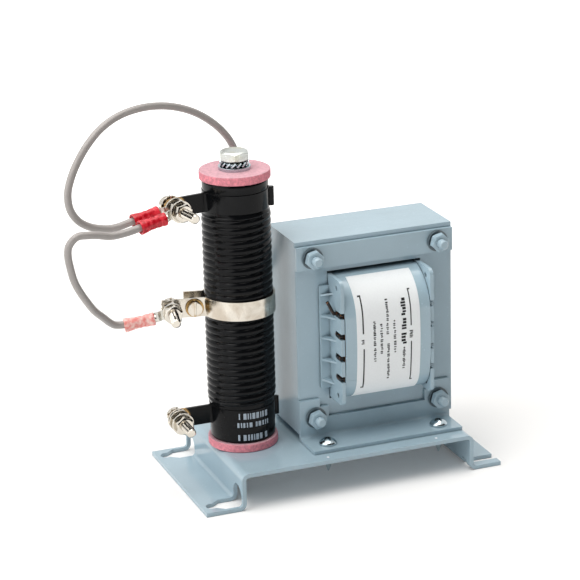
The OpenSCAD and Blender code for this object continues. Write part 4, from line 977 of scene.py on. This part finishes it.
class TRANSFORMER_OT_label(bpy.types.Operator):
    """Makes the plain printed marks on the coil's label"""
    bl_idname = "transformer.label"
    bl_label = "Label marks"

    # Rule lines of the label as X and Z ranges, then the lines of ticks that stand for its print
    RULES = [(7.4, 8.0, 64.9, 80.6), (6.6, 8.0, 80.0, 80.6), (7.6, 8.2, 41.0, 58.3),
             (6.8, 8.2, 40.6, 41.2), (28.9, 29.4, 65.6, 80.6), (28.9, 30.0, 80.1, 80.6),
             (28.9, 29.4, 41.4, 58.7), (28.9, 30.0, 41.0, 41.5)]
    LINES = [(25.0, 26.9, 70.4, 78.4), (25.0, 26.9, 64.4, 69.6), (24.8, 26.9, 58.0, 63.2),
             (25.4, 26.4, 52.2, 56.9), (25.4, 26.4, 47.0, 51.4), (21.2, 22.1, 65.3, 69.0),
             (21.3, 22.2, 60.8, 64.6), (21.4, 22.3, 54.8, 60.1), (18.3, 19.2, 69.0, 78.0),
             (18.1, 19.0, 63.3, 68.2), (18.4, 19.3, 50.8, 59.2), (18.5, 19.4, 43.4, 50.0),
             (15.3, 16.3, 62.2, 68.6), (15.4, 16.4, 55.1, 61.4), (12.3, 13.2, 59.0, 69.7),
             (12.4, 13.3, 52.0, 58.2), (6.9, 8.2, 60.5, 62.8), (28.5, 29.8, 60.3, 63.6)]
    # Ticks: least and most width, gaps between them, how much they stand past the line, and the shares of
    # the line's height that some are short of at each side
    TICK_W = (0.4, 0.6)
    TICK_GAPS = (0.18, 0.22, 0.26, 0.6)
    TICK_OVER = 0.1
    SHORT_LEFT = (0, 0, 0.3)
    SHORT_RIGHT = (0, 0.2)
    # Height from which a line is bold, and the least length that still takes a tick
    BOLD_FROM = 1.5
    LEAST = 0.3

    def execute(self, context):
        draw = random.Random(7)
        ticks = []
        for x0, x1, z0, z1 in self.LINES:
            tall = x1 - x0
            bold = 2 if tall > self.BOLD_FROM else 1
            z = z0
            while z < z1 - self.LEAST:
                wide = draw.uniform(*self.TICK_W) * bold
                left = x0 - self.TICK_OVER + draw.choice(self.SHORT_LEFT) * tall
                right = x1 + self.TICK_OVER - draw.choice(self.SHORT_RIGHT) * tall
                ticks.append((left, right, z, z + wide))
                z += wide + draw.choice(self.TICK_GAPS) * sqrt(bold)
        for name, marks in (("label_rules", self.RULES), ("label_ticks", ticks)):
            mesh = bmesh.new()
            for mark in marks:
                self.mark(mesh, *mark)
            piece(name, mesh, matt_coat("ink_printed", "ink", wear=0.12))
        return {"FINISHED"}

    def mark(self, mesh, x0, x1, z0, z1):
        """One thin raised bar that follows the label's curve."""
        ink = sizes()["ink_t"]
        steps = max(1, ceil(z1 - z0))
        rings = []
        for i in range(steps + 1):
            z = z0 + (z1 - z0) * i / steps
            y = front_of("label", (x0 + x1) / 2, z)
            rings.append([(x0, y + ink, z), (x1, y + ink, z), (x1, y - ink, z), (x0, y - ink, z)])
        loft(mesh, rings)


class TRANSFORMER_OT_stamp(bpy.types.Operator):
    """Makes the pale stamped marks at the resistor's lower end"""
    bl_idname = "transformer.stamp"
    bl_label = "Resistor marks"

    # Rows of marks: radius of the face, and lowest and highest point
    ROWS = [(13.8, 30.5, 33.1), (13.8, 26.9, 29.0), (13.6, 21.0, 23.6)]
    # Where a row begins and ends, how late it may begin and how far past its end a bar may go, the widths
    # of the bars and the gaps between them, all in degrees about the resistor
    FIRST = -120
    LAST = -62
    LATE = 4
    PAST = 2
    BAR_W = (2.2, 3.4, 5.2)
    BAR_GAPS = (2.0, 2.6, 6.0)

    def execute(self, context):
        draw = random.Random(15)
        mesh = bmesh.new()
        for r, z0, z1 in self.ROWS:
            a = self.FIRST + draw.uniform(0, self.LATE)
            while a < self.LAST:
                wide = draw.choice(self.BAR_W)
                self.patch(mesh, r, a, min(a + wide, self.LAST + self.PAST), z0, z1)
                a += wide + draw.choice(self.BAR_GAPS)
        piece("resistor_marks", mesh, matt_coat("ink_stamped_pale", "stamp", wear=0.3))
        return {"FINISHED"}

    def patch(self, mesh, r, from_deg, to_deg, z0, z1):
        """One thin mark on a round face."""
        ink = sizes()["ink_t"]
        facet_deg = 3
        steps = max(1, ceil((to_deg - from_deg) / facet_deg))
        rings = []
        for i in range(steps + 1):
            a = radians(from_deg + (to_deg - from_deg) * i / steps)
            rings.append([(AXIS_X + q * cos(a), AXIS_Y + q * sin(a), z)
                          for q, z in ((r - ink, z0), (r + ink, z0), (r + ink, z1), (r - ink, z1))])
        loft(mesh, rings)


class TRANSFORMER_OT_bolt_ends(bpy.types.Operator):
    """Makes the ends of the core's four bolts, which stand out of their nuts"""
    bl_idname = "transformer.bolt_ends"
    bl_label = "Bolt ends"

    # Radius and length of a bolt's end from its nut: a covered shank, three threads and a blunt point
    POINT = [(2.05, 0), (2.05, 0.95), (1.84, 1.15), (2.04, 1.4), (2.04, 1.55), (1.82, 1.8), (2.02, 2.05),
             (2.02, 2.2), (1.82, 2.45), (1.98, 2.7), (1.9, 2.85), (1.5, 3.2)]
    # Distance of the bolts from the core's edges, half the width of a leg
    INSET = 7

    def execute(self, context):
        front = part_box("core_nuts")[0].y / MM
        core_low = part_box("core_e_stack")[0] / MM
        core_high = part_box("core_i_stack")[1] / MM
        mesh = bmesh.new()
        for x in (core_low.x + self.INSET, core_high.x - self.INSET):
            for z in (core_low.z + self.INSET, core_high.z - self.INSET):
                end = bmesh.new()
                loft(end, lathe(self.POINT, count=24))
                end.transform(Matrix.Translation((x, front, z)) @ Matrix.Rotation(radians(90), 4, "X"))
                add(mesh, end)
        piece("core_bolt_ends", mesh, sprayed_enamel("nuts", 0.8), sharp=32)
        return {"FINISHED"}


class TRANSFORMER_OT_seam(bpy.types.Operator):
    """Makes the end of the coil's tape, which shows as a low ridge"""
    bl_idname = "transformer.seam"
    bl_label = "Tape seam"

    # The seam as X and Z, from the flange to the label, its width and its height
    SEAM = [(0.2, 45.6), (1.6, 45.2), (3.2, 44.9), (4.9, 44.8)]
    SEAM_W = 0.35
    SEAM_H = 0.12

    def execute(self, context):
        rings = []
        for x, z in self.SEAM:
            y = front_of("winding_wrap", x, z)
            rings.append([(x, y + self.SEAM_H * side, z + self.SEAM_W / 2 * rise)
                          for side, rise in ((1, -1), (-1, 0), (1, 1))])
        mesh = bmesh.new()
        loft(mesh, rings)
        piece("wrap_seam", mesh, sprayed_enamel("tape", 2.2, 1.03), sharp=20)
        return {"FINISHED"}


class TRANSFORMER_OT_white_spots(bpy.types.Operator):
    """Makes two small white spots on the deck's paint"""
    bl_idname = "transformer.chips"
    bl_label = "Paint chips"

    # Places near the deck's front edge, least and most radius, and height
    CHIPS = [(-11.5, -32.9), (37.5, -32.6)]
    SPOT_R = (0.45, 0.75)
    SPOT_H = 0.03

    def execute(self, context):
        draw = random.Random(4)
        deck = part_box("base_plate")[1].z / MM
        count = 9
        angles = [2 * pi * k / count for k in range(count)]
        mesh = bmesh.new()
        for x, y in self.CHIPS:
            rim = [draw.uniform(*self.SPOT_R) for _ in angles]
            loft(mesh, [[(x + r * cos(a), y + r * sin(a), z) for a, r in zip(angles, rim)]
                        for z in (deck - self.SPOT_H, deck + self.SPOT_H)])
        piece("paint_chips", mesh, matt_coat("primer_bared", "paper", wear=0.3))
        return {"FINISHED"}


class TRANSFORMER_OT_solids(bpy.types.Operator):
    """Gives every solid that stays its finish and its broken edges"""
    bl_idname = "transformer.solids"
    bl_label = "Finishes"

    def execute(self, context):
        steel = sprayed_enamel("steel")
        nickel = barrel_nickel()
        band = plated("nickel_on_rolled_strip", "nickel", grain_mm=0.35, rough=0.2,
                      stain="tarnish", most=0.35)
        worn = plated("nickel_worn_on_brass", "nickel", grain_mm=0.5, rough=0.16,
                      stain="bared", most=0.9)
        brass = plated("brass_stamped", "brass", grain_mm=0.5, rough=0.2)
        bluish = plated("zinc_plated", "blue_zinc", grain_mm=0.6, rough=0.18)
        tinned = plated("tin_dipped_brass", "tinned", grain_mm=0.5, rough=0.28)
        # Solids, their finish, and the width of their broken edges in millimetres
        for names, material, edge_mm in (
                (["base_plate", "front_foot_bracket", "rear_foot_bracket"], steel, sizes()["edge"]),
                (["front_clamp_strip", "rear_clamp_strip"], steel, 0.2),
                (["core_bolts", "core_nuts"], sprayed_enamel("nuts", 0.8), 0.12),
                # The spring washers are darkened to about a third of the paint: partly thinner spray under
                # the nuts, partly painted shade in the gaps below them.
                (["spring_washers"], sprayed_enamel("washers", 0.8, 0.35), 0.06),
                (["core_e_stack", "core_i_stack"], sprayed_enamel("plates"), 0),
                (["bobbin"], sprayed_enamel("moulding", 1.6), 0.18),
                (["winding_wrap"], sprayed_enamel("tape", 2.2, 1.03), 0),
                (["label"], label_paper(), 0),
                (["winding_ends"], lacquered_ends(), 0),
                (["primary_winding", "secondary_winding"], varnished_copper(), 0),
                (["solder_tags"], tinned, 0.08),
                (["foot_screws"], bluish, 0.12),
                (["resistor_nut"], yellowed_zinc(), 0.15),
                (["resistor_flat_washer", "resistor_under_washer"], bluish, 0.15),
                (["resistor_tooth_washer"], bluish, 0.05),
                (["ceramic_tube"], steatite(), 0.2),
                (["tap_band"], band, 0.12),
                (["clamp_screw", "clamp_nut"], worn, 0.12),
                (["clamp_washer"], brass, 0.12),
                (["terminal_nuts", "terminal_washers"], nickel, 0.1),
                (["terminal_tooth_washers"], nickel, 0.04),
                (["lower_insulating_washer", "upper_insulating_washer"], pink_fibre(), 0.4),
                (["long_lead_ring", "short_lead_ring", "tap_lead_ring"], tinned, 0.1)):
            dress(names, material, edge_mm)
        for end in ("upper", "lower"):
            cement = black_enamel("cement_baked_on_" + end + "_band", flow_mm=4, depth_mm=0.12, screw=end)
            dress([end + "_terminal_band"], cement, 0.2)
        return {"FINISHED"}


class TRANSFORMER_PT_panel(bpy.types.Panel):
    """Lists the transformer's pieces, sizes and colours"""
    bl_idname = "TRANSFORMER_PT_panel"
    bl_label = "Transformer"
    bl_space_type = "VIEW_3D"
    bl_region_type = "UI"
    bl_category = "Transformer"

    def draw(self, context):
        for operator in OPERATORS:
            self.layout.operator(operator.bl_idname)
        for group in (context.scene.transformer_sizes, context.scene.transformer_colours):
            for key in type(group).__annotations__:
                self.layout.prop(group, key)


OPERATORS = (TRANSFORMER_OT_stage, TRANSFORMER_OT_sleeves, TRANSFORMER_OT_leads, TRANSFORMER_OT_resistor,
             TRANSFORMER_OT_screws, TRANSFORMER_OT_long_bolt, TRANSFORMER_OT_plates, TRANSFORMER_OT_label,
             TRANSFORMER_OT_stamp, TRANSFORMER_OT_bolt_ends, TRANSFORMER_OT_seam, TRANSFORMER_OT_white_spots,
             TRANSFORMER_OT_solids)
CLASSES = (TransformerSizes, TransformerColours, *OPERATORS, TRANSFORMER_PT_panel)


def register():
    for item in CLASSES:
        bpy.utils.register_class(item)
    bpy.types.Scene.transformer_sizes = bpy.props.PointerProperty(type=TransformerSizes)
    bpy.types.Scene.transformer_colours = bpy.props.PointerProperty(type=TransformerColours)


def unregister():
    del bpy.types.Scene.transformer_colours
    del bpy.types.Scene.transformer_sizes
    for item in reversed(CLASSES):
        bpy.utils.unregister_class(item)


def main():
    """Makes every piece in order."""
    register()
    for operator in OPERATORS:
        group, name = operator.bl_idname.split(".")
        getattr(getattr(bpy.ops, group), name)()


if __name__ == "__main__":
    main()
